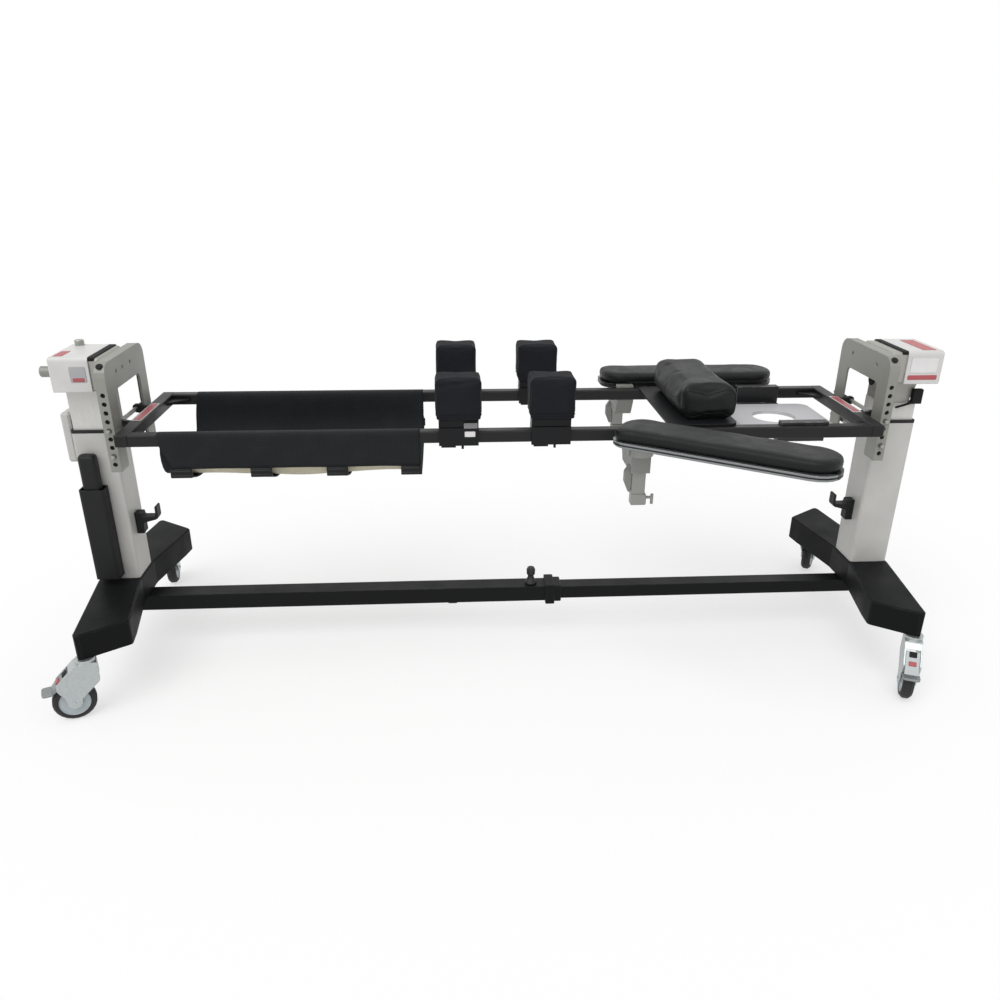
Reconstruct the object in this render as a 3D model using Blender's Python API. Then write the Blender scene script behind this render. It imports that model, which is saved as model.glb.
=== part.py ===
"""Spine operating table: two lifting columns on a telescoping base carry an open patient frame that rolls."""
from math import atan2, cos, pi, radians, sin

import bmesh
import bpy
from mathutils import Matrix, Vector

# Fits between pieces
GAP = 0.0003
SLIDE = 0.0006
PIN_FIT = 0.0006
OVERCUT = 0.010
SINK = 0.002
SMOOTH_ANGLE = radians(35.0)

# Patient frame
FRAME_LENGTH = 2.032
FRAME_WIDTH = 0.432
RAIL_WIDTH = 0.032
RAIL_HEIGHT = 0.032
RAIL_WALL = 0.003
RAIL_TOP = 0.739
CROSSBAR_WIDTH = 0.034
GUSSET = 0.052
GUSSET_PLATE = 0.008
LUG_Y = 0.075
LUG_PLATE = 0.012

# Yokes
FRAME_TO_YOKE = 0.018
YOKE_DEPTH = 0.028
YOKE_SHEET = 0.006
YOKE_WIDTH = 0.304
YOKE_HEIGHT = 0.290
YOKE_ABOVE_RAIL = 0.168
YOKE_CORNER = 0.035
WINDOW_WIDTH = 0.190
WINDOW_HEIGHT = 0.211
WINDOW_CORNER = 0.015
PIN_RADIUS = 0.006
PIN_PITCH = 0.0235
PIN_ROWS = 9
PIN_FIRST = 0.021
PIN_CHAMFER = 0.003
PIN_HEAD_RADIUS = 0.010
PIN_HEAD = 0.014
PIN_TIP = 0.012
UPPER_PIN = 4
LOWER_PIN = 1
WEB_HOLE = 0.0055
WEB_HOLE_RISE = 0.017
LEFT_WEB_HOLES = (-0.071, -0.024, 0.038)
RIGHT_WEB_HOLES = (0.075, -0.075)

# Roll axis
ROLL_ABOVE_RAIL = 0.116
SHAFT_RADIUS = 0.015
HUB_RADIUS = 0.020
HUB_DEPTH = 0.008
SHAFT_KNOB = 0.060
SHAFT_STOP = 0.018
SHAFT_CHAMFER = 0.002

# Columns
YOKE_TO_COLUMN = 0.015
COLUMN_LENGTH = 0.113
COLUMN_DEPTH = 0.112
COLUMN_WALL = 0.005
COLUMN_CORNER = 0.008
COLUMN_TOP = 0.700
INNER_WALL = 0.004
LIFT_DOWN = 0.045
LIFT_UP = 0.330
ACTUATOR_RADIUS = 0.022
ACTUATOR_WALL = 0.007
ROD_RADIUS = 0.0135

# Heads
HEAD_CLEAR = 0.006
CASING_BACK = 0.034
RIGHT_CASING_SHIFT = 0.017
CASING_OVER = 0.010
CASING_WIDTH = 0.180
CASING_WALL = 0.004
CASING_BELOW_ROLL = 0.035
CASING_ABOVE_ROLL = 0.057
CASING_CORNER = 0.010
BRACKET_DROP = 0.065
BRACKET_WIDTH = 0.100
BRACKET_LENGTH = 0.095
BRACKET_TAPER = 0.022

# Feet
FOOT_BOTTOM = 0.1755
FOOT_HEIGHT = 0.0745
FOOT_REACH = 0.390
FOOT_LIP = 0.005
FOOT_TIP_OUT = 0.0155
FOOT_TIP_IN = 0.105
FOOT_TIP_SLANT = 0.085
FOOT_KNEE_IN = 0.0975
FOOT_KNEE_Y = 0.250
FOOT_ROUND = 0.012
FOOT_EDGE = 0.004
FOOT_WALL = 0.009
FOOT_POCKET = 0.058
FOOT_POCKET_START = 0.022
FOOT_POCKET_END = 0.010

# Beam
BEAM_WIDTH = 0.058
BEAM_HEIGHT = 0.0487
BEAM_WALL = 0.004
BEAM_END = 0.010
COLLAR_X = 0.132
COLLAR = 0.028
COLLAR_STEP = 0.021
COLLAR_PROUD = 0.009
STEP_PROUD = 0.003
INNER_TUBE_START = 0.020
KNOB_X = 0.088
KNOB_RADIUS = 0.0135
KNOB_FLANGE = 0.019
KNOB_NECK = 0.0085
KNOB_HEIGHT = 0.053

# Casters
CASTER_IN = 0.002
CASTER_Y = 0.366
CASTER_TRAIL = 0.044
WHEEL_RADIUS = 0.055
WHEEL_WIDTH = 0.034
TYRE_DEPTH = 0.016
HUB_BOSS = 0.014
AXLE_RADIUS = 0.004
AXLE_HEAD = 0.003
FORK_CHEEK = 0.0040
FORK_SIDE = 0.0020
FORK_EYE = 0.020
FORK_FRONT = 0.028
CROWN_CLEAR = 0.040
CROWN = 0.016
SWIVEL_RADIUS = 0.025
HOOD_REACH = 0.036
HOOD_TOP = 0.008
HOOD_BOTTOM = -0.008
PEDAL_PIVOT_OUT = 0.030
PEDAL_PIVOT_UP = 0.057
PEDAL_PIN = 0.003
PEDAL_REACH = 0.073
PEDAL_WIDTH = 0.0436
PEDAL_BLADE = 0.006
PEDAL_DROP = 0.017
SHOE_RADIUS = 0.004
SHOE_CLEAR = 0.0026
SHOE_SLANT = radians(45.0)
FRONT_LEFT_TRAIL = radians(203.0)
FRONT_RIGHT_TRAIL = radians(247.0)
REAR_LEFT_TRAIL = radians(99.0)
REAR_RIGHT_TRAIL = radians(57.0)

# Fittings on the columns
MOTOR_DEPTH = 0.025
MOTOR_WIDTH = 0.090
MOTOR_BOTTOM = 0.610
MOTOR_TOP = 0.750
HOLSTER_WIDTH = 0.069
HOLSTER_DEPTH = 0.044
HOLSTER_BOTTOM = 0.270
HOLSTER_HEIGHT = 0.275
HOLSTER_WALL = 0.003
HOLSTER_OFF = 0.016
PENDANT_WIDTH = 0.047
PENDANT_DEPTH = 0.032
PENDANT_HEIGHT = 0.370
HOOK_BLOCK = 0.022
HOOK_WIDTH = 0.030
HOOK_BOTTOM = 0.376
HOOK_HEIGHT = 0.064
HOOK_REACH = 0.067
HOOK_TIP = 0.020
HOOK_SHELF = 0.70
HOOK_ROD = 0.007

# Leg sling
SLING_FROM_END = 0.107
SLING_TO_CLAMP = 0.050
SLING_CLOTH = 0.003
SLING_SAG = 0.144
SLING_HANG = 0.105
SLING_SLANT = 0.021
SLING_SWAY = 0.003
SLING_STATIONS = 9
STRAP_WIDTH = 0.050
STRAP_CLOTH = 0.003
STRAP_DROP = 0.072
STRAP_SHARES = (0.055, 0.380, 0.668, 0.960)

# Thigh and hip pads with their clamps
PAD_LENGTH = 0.118
PAD_DEPTH = 0.096
PAD_BOTTOM = 0.775
PAD_TOP = 0.885
THIGH_X = -0.133
HIP_X = 0.110
CLAMP_LENGTH = 0.104
CLAMP_PLATE = 0.008
CLAMP_TOP = 0.010
PEDESTAL = 0.040
KEEPER_LENGTH = 0.038
KEEPER = 0.009
KEEPER_IN = 0.006
PAD_CORNER = 0.012
PAD_EDGE = 0.009
PAD_CROWN = 0.006
PAD_BOW = 0.002

# Chest support
CHEST_FROM_END = 0.471
CHEST_PAD_LENGTH = 0.164
CHEST_PAD_INSET = 0.042
CHEST_PAD_HEIGHT = 0.098
CHEST_PAD_CORNER = 0.042
CHEST_PAD_EDGE = 0.026
CHEST_PAD_CROWN = 0.012
CHEST_PAD_BOW = 0.003
CHEST_BOARD_LENGTH = 0.190
CHEST_BOARD_SHIFT = -0.022
CHEST_BOARD_INSET = 0.017
CHEST_BOARD = 0.006
RUNNER = 0.007
RUNNER_DROP = 0.022
RUNNER_INSET = 0.030

# Head support
HEAD_FROM_END = 0.215
PLATE_LENGTH = 0.268
PLATE_INSET = 0.086
PLATE = 0.010
PLATE_BELOW_RAIL = 0.034
FACE_LENGTH = 0.125
FACE_WIDTH = 0.120
FACE_OFFSET = 0.010
HEAD_CLAMP_LENGTH = 0.130
HEAD_CLAMP_PLATE = 0.008
HEAD_CLAMP_LIP = 0.018
HEAD_CLAMP_SHELF = 0.015

# Arm supports
ARM_STAND = 0.091
NEAR_ARM_FROM_END = 0.686
FAR_ARM_FROM_END = 0.6255
NEAR_ARM_SWING = radians(-33.0)
FAR_ARM_SWING = 0.0
ARM_LENGTH = 0.556
ARM_WIDTH = 0.130
ARM_CORNER = 0.045
ARM_ABOVE_RAIL = -0.010
ARM_BOARD = 0.015
ARM_GROOVE = 0.0025
ARM_PAD = 0.032
ARM_PAD_EDGE = 0.010
ARM_PAD_CROWN = 0.005
JAW_LENGTH = 0.050
JAW_PLATE = 0.008
JAW_LIP = 0.016
JAW_KEEPER = 0.024
SLEEVE_BELOW_RAIL = 0.039
SLEEVE_HEIGHT = 0.045
SLEEVE_WALL = 0.010
FIN_REACH = 0.013
FIN_DROP = 0.055
FIN_PLATE = 0.014
POST_LENGTH = 0.036
POST_DEPTH = 0.020
POST_DROP = 0.171
POST_FOOT = 0.026
POST_FOOT_LIP = 0.004
POST_DISC = 0.034
POST_LEVER = 0.018
POST_LEVER_RADIUS = 0.004

# Sizes that follow from the ones above
FRAME_END = FRAME_LENGTH / 2
RAIL_Y = FRAME_WIDTH / 2 - RAIL_WIDTH / 2
RAIL_OUT = FRAME_WIDTH / 2
RAIL_IN = FRAME_WIDTH / 2 - RAIL_WIDTH
RAIL_BOTTOM = RAIL_TOP - RAIL_HEIGHT
YOKE_IN = FRAME_END + FRAME_TO_YOKE
YOKE_OUT = YOKE_IN + YOKE_DEPTH
YOKE_HALF = YOKE_WIDTH / 2
YOKE_TOP = RAIL_TOP + YOKE_ABOVE_RAIL
YOKE_BOTTOM = YOKE_TOP - YOKE_HEIGHT
PIN_X = YOKE_IN + YOKE_DEPTH / 2
ROLL_Z = RAIL_TOP + ROLL_ABOVE_RAIL
COLUMN_IN = YOKE_OUT + YOKE_TO_COLUMN
COLUMN_OUT = COLUMN_IN + COLUMN_LENGTH
COLUMN_X = (COLUMN_IN + COLUMN_OUT) / 2
HEAD_IN = YOKE_OUT + HEAD_CLEAR
CASING_IN = YOKE_OUT + CASING_BACK
CASING_OUT = COLUMN_OUT + CASING_OVER
CASING_BOTTOM = ROLL_Z - CASING_BELOW_ROLL
CASING_TOP = ROLL_Z + CASING_ABOVE_ROLL
BRACKET_BOTTOM = CASING_BOTTOM - BRACKET_DROP
FOOT_TOP = FOOT_BOTTOM + FOOT_HEIGHT
INNER_BOTTOM = FOOT_TOP + LIFT_DOWN + OVERCUT / 2
BEAM_TOP = FOOT_BOTTOM - GAP
BEAM_BOTTOM = BEAM_TOP - BEAM_HEIGHT
TUBE_TOP = BEAM_TOP - BEAM_WALL - SLIDE
TUBE_BOTTOM = BEAM_BOTTOM + BEAM_WALL + SLIDE
TUBE_HALF = BEAM_WIDTH / 2 - BEAM_WALL - SLIDE
CASTER_X = COLUMN_X + CASTER_IN
AXLE_Z = WHEEL_RADIUS
CROWN_BOTTOM = 2 * WHEEL_RADIUS + CROWN_CLEAR
SLOT_HALF = WHEEL_WIDTH / 2 + FORK_SIDE
FORK_HALF = SLOT_HALF + FORK_CHEEK
SLING_START = -FRAME_END + SLING_FROM_END
SLING_END = THIGH_X - CLAMP_LENGTH / 2 - SLING_TO_CLAMP
SLING_LENGTH = SLING_END - SLING_START
CHEST_X = FRAME_END - CHEST_FROM_END
HEAD_X = FRAME_END - HEAD_FROM_END
NEAR_ARM_X = FRAME_END - NEAR_ARM_FROM_END
FAR_ARM_X = FRAME_END - FAR_ARM_FROM_END
ARM_Y = RAIL_OUT + ARM_STAND
ARM_BOARD_Z = RAIL_TOP + ARM_ABOVE_RAIL
ARM_PAD_Z = ARM_BOARD_Z + ARM_BOARD + GAP
SLEEVE_TOP = RAIL_TOP - SLEEVE_BELOW_RAIL
SLEEVE_BOTTOM = SLEEVE_TOP - SLEEVE_HEIGHT
POST_BOTTOM = RAIL_TOP - POST_DROP

BODIES = {}
PIECES = []


def clear_scene():
    """Remove everything that the file started with."""
    for item in list(bpy.data.objects):
        bpy.data.objects.remove(item)


def finish(name, shade, roughness, metallic=0.0):
    """Return a plain material of the given linear colour."""
    made = bpy.data.materials.new(name)
    made.use_nodes = True
    shader = made.node_tree.nodes["Principled BSDF"]
    shader.inputs["Base Color"].default_value = (*shade, 1.0)
    shader.inputs["Roughness"].default_value = roughness
    shader.inputs["Metallic"].default_value = metallic
    made.diffuse_color = (*shade, 1.0)
    return made


def body(name, at, parent=None):
    """Add the empty that a moving body hangs from, standing on its joint axis."""
    empty = bpy.data.objects.new(name + "_axis", None)
    bpy.context.collection.objects.link(empty)
    origin = Vector(at)
    if parent:
        empty.parent = BODIES[parent][0]
        empty.location = origin - BODIES[parent][1]
    else:
        empty.location = origin
    BODIES[name] = (empty, origin)


def add(name, bm, look, on, smooth=False):
    """Turn a bmesh in table coordinates into a named piece that rides on a body."""
    bm.normal_update()
    bmesh.ops.recalc_face_normals(bm, faces=bm.faces[:])
    mesh = bpy.data.meshes.new(name)
    empty, origin = BODIES[on]
    bm.transform(Matrix.Translation(-origin))
    bm.to_mesh(mesh)
    bm.free()
    if smooth:
        mesh.shade_smooth()
        mesh.set_sharp_from_angle(angle=SMOOTH_ANGLE)
    made = bpy.data.objects.new(name, mesh)
    bpy.context.collection.objects.link(made)
    made.parent = empty
    if look:
        mesh.materials.append(look)
        PIECES.append(made)
    return made


def tool(bm):
    """Make a hidden shape for a Boolean."""
    made = add("tool", bm, None, "table")
    made.hide_render = True
    made.display_type = "WIRE"
    return made


def boolean(piece, bm, operation):
    """Join a shape to a piece or cut it out."""
    step = piece.modifiers.new(operation.lower(), "BOOLEAN")
    step.operation = operation
    step.solver = "EXACT"
    step.object = tool(bm)


def join(piece, *shapes):
    """Join shapes to a piece."""
    for shape in shapes:
        boolean(piece, shape, "UNION")


def cut(piece, *shapes):
    """Cut shapes out of a piece."""
    for shape in shapes:
        boolean(piece, shape, "DIFFERENCE")


def merge(*shapes):
    """Gather separate solids into one bmesh."""
    total = bmesh.new()
    for shape in shapes:
        held = bpy.data.meshes.new("held")
        shape.to_mesh(held)
        shape.free()
        total.from_mesh(held)
        bpy.data.meshes.remove(held)
    return total


def place(point, axis, along):
    """Lift a point of a flat outline to its place along an axis."""
    a, b = point
    if axis == "X":
        return (along, a, b)
    if axis == "Y":
        return (a, along, b)
    return (a, b, along)


def rounded(points, radius, steps=3):
    """Fillet every corner of an outline; radius may be one number or one for each corner."""
    total = len(points)
    radii = radius if isinstance(radius, (list, tuple)) else [radius] * total
    out = []
    for k, point in enumerate(points):
        here = Vector(point)
        before = Vector(points[k - 1]) - here
        after = Vector(points[(k + 1) % total]) - here
        if radii[k] <= 0:
            out.append((here.x, here.y))
            continue
        half = before.angle(after) / 2
        reach = min(radii[k] * cos(half) / sin(half), 0.49 * before.length, 0.49 * after.length)
        first = here + before.normalized() * reach
        last = here + after.normalized() * reach
        bisect = (before.normalized() + after.normalized()).normalized()
        centre = here + bisect * (reach / cos(half))
        size = (first - centre).length
        start = atan2(first.y - centre.y, first.x - centre.x)
        turn = atan2(last.y - centre.y, last.x - centre.x) - start
        turn = (turn + pi) % (2 * pi) - pi
        for n in range(steps + 1):
            angle = start + turn * n / steps
            out.append((centre.x + size * cos(angle), centre.y + size * sin(angle)))
    return out


def rectangle(a0, a1, b0, b1, radius=0.0, steps=3):
    """Return a rectangle outline with rounded corners."""
    corners = [(a0, b0), (a1, b0), (a1, b1), (a0, b1)]
    return rounded(corners, radius, steps) if radius else corners


def ring(ca, cb, radius, count=16, other=None):
    """Return a circle outline, or an ellipse when a second radius is given."""
    second = other or radius
    turns = [2 * pi * k / count for k in range(count)]
    return [(ca + radius * cos(t), cb + second * sin(t)) for t in turns]


def prism(outline, axis, low, high, edge=0.0, steps=1):
    """Extrude an outline along an axis, easing the rims of the far face when asked."""
    bm = bmesh.new()
    face = bm.faces.new([bm.verts.new(place(p, axis, low)) for p in outline])
    made = bmesh.ops.extrude_face_region(bm, geom=[face])
    moved = [item for item in made["geom"] if isinstance(item, bmesh.types.BMVert)]
    step = Vector(place((0, 0), axis, high - low))
    bmesh.ops.translate(bm, verts=moved, vec=step)
    if edge:
        rim = [e for e in bm.edges if all(v in moved for v in e.verts)]
        bmesh.ops.bevel(bm, geom=rim, offset=edge, segments=steps, affect="EDGES", profile=0.5)
    return bm


def pipe(outline, axis, low, high, wall):
    """Extrude an outline into a tube with the given wall."""
    bm = bmesh.new()
    face = bm.faces.new([bm.verts.new(place(p, axis, low)) for p in outline])
    bm.normal_update()
    bmesh.ops.inset_region(bm, faces=[face], thickness=wall, use_boundary=True, use_even_offset=True)
    bmesh.ops.delete(bm, geom=[face], context="FACES")
    made = bmesh.ops.extrude_face_region(bm, geom=bm.faces[:])
    moved = [item for item in made["geom"] if isinstance(item, bmesh.types.BMVert)]
    bmesh.ops.translate(bm, verts=moved, vec=Vector(place((0, 0), axis, high - low)))
    return bm


def box(x0, x1, y0, y1, z0, z1, edge=0.0):
    """Make a block between two corners, with eased edges when asked."""
    bm = bmesh.new()
    bmesh.ops.create_cube(bm, size=1.0)
    size = Matrix.Diagonal((abs(x1 - x0), abs(y1 - y0), abs(z1 - z0), 1.0))
    bm.transform(Matrix.Translation(((x0 + x1) / 2, (y0 + y1) / 2, (z0 + z1) / 2)) @ size)
    if edge:
        bmesh.ops.bevel(bm, geom=bm.edges[:], offset=edge, segments=1, affect="EDGES")
    return bm


def rod(start, end, radius, count=16):
    """Make a round bar between two points."""
    bm = bmesh.new()
    a = Vector(start)
    b = Vector(end)
    turn = (b - a).to_track_quat("Z", "Y").to_matrix().to_4x4()
    bmesh.ops.create_cone(
        bm, cap_ends=True, segments=count, radius1=radius, radius2=radius, depth=(b - a).length,
        matrix=Matrix.Translation((a + b) / 2) @ turn,
    )
    return bm


def lathe(profile, axis, centre, count=20):
    """Spin a profile of radius and height about an axis through a point."""
    bm = bmesh.new()
    spots = [bm.verts.new((radius, 0.0, height)) for radius, height in profile]
    closed = profile[0][0] > 0.0005
    pairs = list(zip(spots, spots[1:]))
    if closed:
        pairs.append((spots[-1], spots[0]))
    edges = [bm.edges.new(pair) for pair in pairs]
    bmesh.ops.spin(
        bm, geom=spots + edges, cent=(0, 0, 0), axis=(0, 0, 1), angle=2 * pi, steps=count, use_merge=True,
    )
    bmesh.ops.remove_doubles(bm, verts=bm.verts[:], dist=0.00002)
    turn = Vector((0, 0, 1)).rotation_difference(Vector(axis)).to_matrix().to_4x4()
    bm.transform(Matrix.Translation(centre) @ turn)
    return bm


def inset_ring(outline, depth):
    """Draw an outline in by the same depth on every side, keeping its corners in proportion."""
    us = [p[0] for p in outline]
    vs = [p[1] for p in outline]
    cu = (min(us) + max(us)) / 2
    cv = (min(vs) + max(vs)) / 2
    ku = 1 - 2 * depth / (max(us) - min(us))
    kv = 1 - 2 * depth / (max(vs) - min(vs))
    return [(cu + (u - cu) * ku, cv + (v - cv) * kv) for u, v in outline]


def stack(outline, levels):
    """Loft rings of one outline, each level giving a height and how far the ring draws in."""
    bm = bmesh.new()
    rings = []
    for height, depth in levels:
        rings.append([bm.verts.new((p[0], p[1], height)) for p in inset_ring(outline, depth)])
    for low, high in zip(rings, rings[1:]):
        for k in range(len(low)):
            n = (k + 1) % len(low)
            bm.faces.new((low[k], low[n], high[n], high[k]))
    bm.faces.new(rings[0][::-1])
    bm.faces.new(rings[-1])
    return bm


def cushion(outline, low, high, edge, crown, width):
    """Make a stuffed pad: rounded rims, sides that belly out and a crowned top."""
    belly = 0.05 * edge
    top = high - crown
    levels = [
        (low, 0.7 * edge),
        (low + 0.25 * edge, 0.2 * edge),
        (low + edge, 0.0),
        ((low + top) / 2, -belly),
        (top - edge, 0.0),
        (top - 0.35 * edge, 0.18 * edge),
        (top, 0.65 * edge),
        (top + 0.6 * crown, 0.22 * width),
        (high, 0.40 * width),
    ]
    return stack(outline, levels)


def drawn_in(a0, a1, b0, b1, radius, bow):
    """Return a pad outline whose sides draw in a little between the corners."""
    plain = rounded([(a0, b0), (a1, b0), (a1, b1), (a0, b1)], radius, 3)
    ca = (a0 + a1) / 2
    cb = (b0 + b1) / 2
    out = []
    for k, point in enumerate(plain):
        out.append(point)
        if k % 4 == 3:
            after = plain[(k + 1) % len(plain)]
            for share in (0.25, 0.5, 0.75):
                pull = bow * 4 * share * (1 - share)
                spot = Vector(point).lerp(Vector(after), share)
                flat = abs(after[0] - point[0]) > abs(after[1] - point[1])
                step = Vector((0, cb - spot.y)) if flat else Vector((ca - spot.x, 0))
                out.append(tuple(spot + step.normalized() * pull))
    return out


def turned(bm, angle, centre):
    """Turn a bmesh about the vertical and set it down at a point."""
    bm.transform(Matrix.Translation(centre) @ Matrix.Rotation(angle, 4, "Z"))
    return bm


def end_name(side):
    """Name an end of the table."""
    return "left" if side < 0 else "right"


def row_name(row):
    """Name a long side of the table."""
    return "near" if row < 0 else "far"


def foot(side, look):
    """Cast foot: two legs swept inboard to the casters, hollow underneath."""
    half = [
        (COLUMN_OUT + FOOT_LIP, COLUMN_DEPTH / 2 + FOOT_LIP),
        (COLUMN_X + FOOT_TIP_OUT, FOOT_REACH),
        (COLUMN_X - FOOT_TIP_IN, FOOT_REACH - FOOT_TIP_SLANT),
        (COLUMN_X - FOOT_KNEE_IN, FOOT_KNEE_Y),
        (COLUMN_IN - FOOT_LIP, COLUMN_DEPTH / 2 + FOOT_LIP),
    ]
    outline = [(side * x, y) for x, y in half] + [(side * x, -y) for x, y in reversed(half)]
    made = add(
        end_name(side) + "_foot",
        prism(rounded(outline, FOOT_ROUND, 2), "Z", FOOT_BOTTOM, FOOT_TOP, FOOT_EDGE),
        look, "base",
    )
    y0 = COLUMN_DEPTH / 2 + FOOT_POCKET_START
    y1 = FOOT_KNEE_Y - FOOT_POCKET_END
    for row in (-1, 1):
        spots = []
        for y, edge in ((y0, 0), (y1, 0), (y1, 1), (y0, 1)):
            a, b = (half[0], half[1]) if edge == 0 else (half[4], half[3])
            share = (y - a[1]) / (b[1] - a[1])
            x = a[0] + share * (b[0] - a[0])
            spots.append((side * (x - FOOT_WALL if edge == 0 else x + FOOT_WALL), row * y))
        cut(made, prism(spots, "Z", FOOT_BOTTOM - OVERCUT, FOOT_BOTTOM + FOOT_POCKET))
    if side > 0:
        reach = COLUMN_OUT - BEAM_END
        join(made, box(COLUMN_IN, reach, -BEAM_WIDTH / 2, BEAM_WIDTH / 2, TUBE_TOP + GAP, FOOT_BOTTOM + SINK))


def beam(outer_look, inner_look, knob_look):
    """Telescoping beam between the feet with its collar and lock knob."""
    half = BEAM_WIDTH / 2
    start = -(COLUMN_OUT - BEAM_END)
    end = COLLAR_X + COLLAR + COLLAR_STEP
    tube = box(start, COLLAR_X + SINK, -half, half, BEAM_BOTTOM, BEAM_TOP)
    made = add("beam_outer_tube", tube, outer_look, "base")
    shoulder = COLLAR_X + COLLAR
    for x0, x1, proud in ((COLLAR_X, shoulder, COLLAR_PROUD), (shoulder - SINK, end, STEP_PROUD)):
        join(made, box(x0, x1, -half - proud, half + proud, BEAM_BOTTOM - proud, BEAM_TOP + proud, SINK))
    inside = half - BEAM_WALL
    low = BEAM_BOTTOM + BEAM_WALL
    cut(made, box(start - OVERCUT, end + OVERCUT, -inside, inside, low, BEAM_TOP - BEAM_WALL))
    outline = rectangle(-TUBE_HALF, TUBE_HALF, TUBE_BOTTOM, TUBE_TOP)
    slider = pipe(outline, "X", INNER_TUBE_START, COLUMN_OUT - BEAM_END, BEAM_WALL)
    add("beam_inner_tube", slider, inner_look, "base")
    foot_z = BEAM_TOP + GAP
    shape = [
        (0.0, 0.0), (KNOB_FLANGE, 0.0), (KNOB_FLANGE, 0.08), (0.55 * KNOB_FLANGE, 0.32), (KNOB_NECK, 0.49),
        (0.96 * KNOB_RADIUS, 0.58), (KNOB_RADIUS, 0.87), (0.75 * KNOB_RADIUS, 1.0), (0.0, 1.0),
    ]
    profile = [(radius, foot_z + share * KNOB_HEIGHT) for radius, share in shape]
    knob = lathe(profile, (0, 0, 1), (KNOB_X, 0, 0), 18)
    add("beam_lock_knob", knob, knob_look, "beam_lock", True)


def columns(looks):
    """Both telescoping columns with the actuators inside them and the hooks on them."""
    half = COLUMN_DEPTH / 2
    for side in (-1, 1):
        name = end_name(side)
        lift = name + "_lift"
        x0, x1 = sorted((side * COLUMN_IN, side * COLUMN_OUT))
        outline = rectangle(x0, x1, -half, half, COLUMN_CORNER, 3)
        outer = pipe(outline, "Z", FOOT_TOP + GAP, COLUMN_TOP, COLUMN_WALL)
        add(name + "_outer_column", outer, looks["column"], "base")
        play = COLUMN_WALL + SLIDE
        small = rectangle(x0 + play, x1 - play, -half + play, half - play, COLUMN_CORNER / 2, 3)
        head = CASING_BOTTOM if side < 0 else BRACKET_BOTTOM
        tube = pipe(small, "Z", INNER_BOTTOM, head - GAP, INNER_WALL)
        add(name + "_inner_column", tube, looks["inner"], lift)
        barrel = ring(side * COLUMN_X, 0, ACTUATOR_RADIUS, 14)
        drive = pipe(barrel, "Z", FOOT_TOP + GAP, COLUMN_TOP - OVERCUT, ACTUATOR_WALL)
        add(name + "_actuator", drive, looks["steel"], "base", True)
        add(name + "_hook", hook(side), looks["black"], "base")


def hook(side):
    """Flat hook on the inboard face of a column, for the lines that are hung there."""
    face = COLUMN_IN - GAP
    top = HOOK_BOTTOM + HOOK_HEIGHT
    tip = face - HOOK_REACH
    back = face - HOOK_BLOCK
    shelf = HOOK_BOTTOM + HOOK_SHELF * HOOK_HEIGHT
    points = [
        (face, HOOK_BOTTOM), (face, top), (back, top), (back, shelf + HOOK_ROD),
        (tip + HOOK_ROD, shelf + HOOK_ROD), (tip + HOOK_ROD, top + HOOK_TIP), (tip, top + HOOK_TIP),
        (tip, shelf), (back, shelf - 0.012), (back, HOOK_BOTTOM),
    ]
    rounds = [0, 0, 0.004, 0.004, 0.006, 0.004, 0.004, 0.010, 0.008, 0.004]
    outline = [(side * x, z) for x, z in rounded(points, rounds, 2)]
    return prism(outline, "Y", -HOOK_WIDTH / 2, HOOK_WIDTH / 2)


def column_fittings(looks):
    """Motor cover, pendant holster and the pendant standing in it."""
    x = -(COLUMN_OUT + GAP)
    cover = box(x - MOTOR_DEPTH, x, -MOTOR_WIDTH / 2, MOTOR_WIDTH / 2, MOTOR_BOTTOM, MOTOR_TOP, 0.005)
    add("motor_cover", cover, looks["casing"], "base")
    face = -(COLUMN_DEPTH / 2 + GAP)
    centre = -(COLUMN_X + HOLSTER_OFF)
    half = HOLSTER_WIDTH / 2
    front = face - HOLSTER_DEPTH
    top = HOLSTER_BOTTOM + HOLSTER_HEIGHT
    holster = add(
        "pendant_holster",
        prism(rectangle(centre - half, centre + half, front, face, 0.008, 2), "Z", HOLSTER_BOTTOM, top),
        looks["black"], "base",
    )
    wall = HOLSTER_WALL
    floor = HOLSTER_BOTTOM + wall
    hollow = rectangle(centre - half + wall, centre + half - wall, front + wall, face - wall, 0.005, 2)
    cut(holster, prism(hollow, "Z", floor, top + 0.01))
    middle = (front + face) / 2
    width = PENDANT_WIDTH / 2
    depth = PENDANT_DEPTH / 2
    grip = rectangle(centre - width, centre + width, middle - depth, middle + depth, 0.010, 3)
    low = floor + GAP
    levels = [
        (low, 0.003), (low + 0.004, 0.0), (low + PENDANT_HEIGHT - 0.008, 0.0),
        (low + PENDANT_HEIGHT - 0.002, 0.003), (low + PENDANT_HEIGHT, 0.007),
    ]
    add("hand_pendant", stack(grip, levels), looks["pendant"], "hand_pendant", True)


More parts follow.
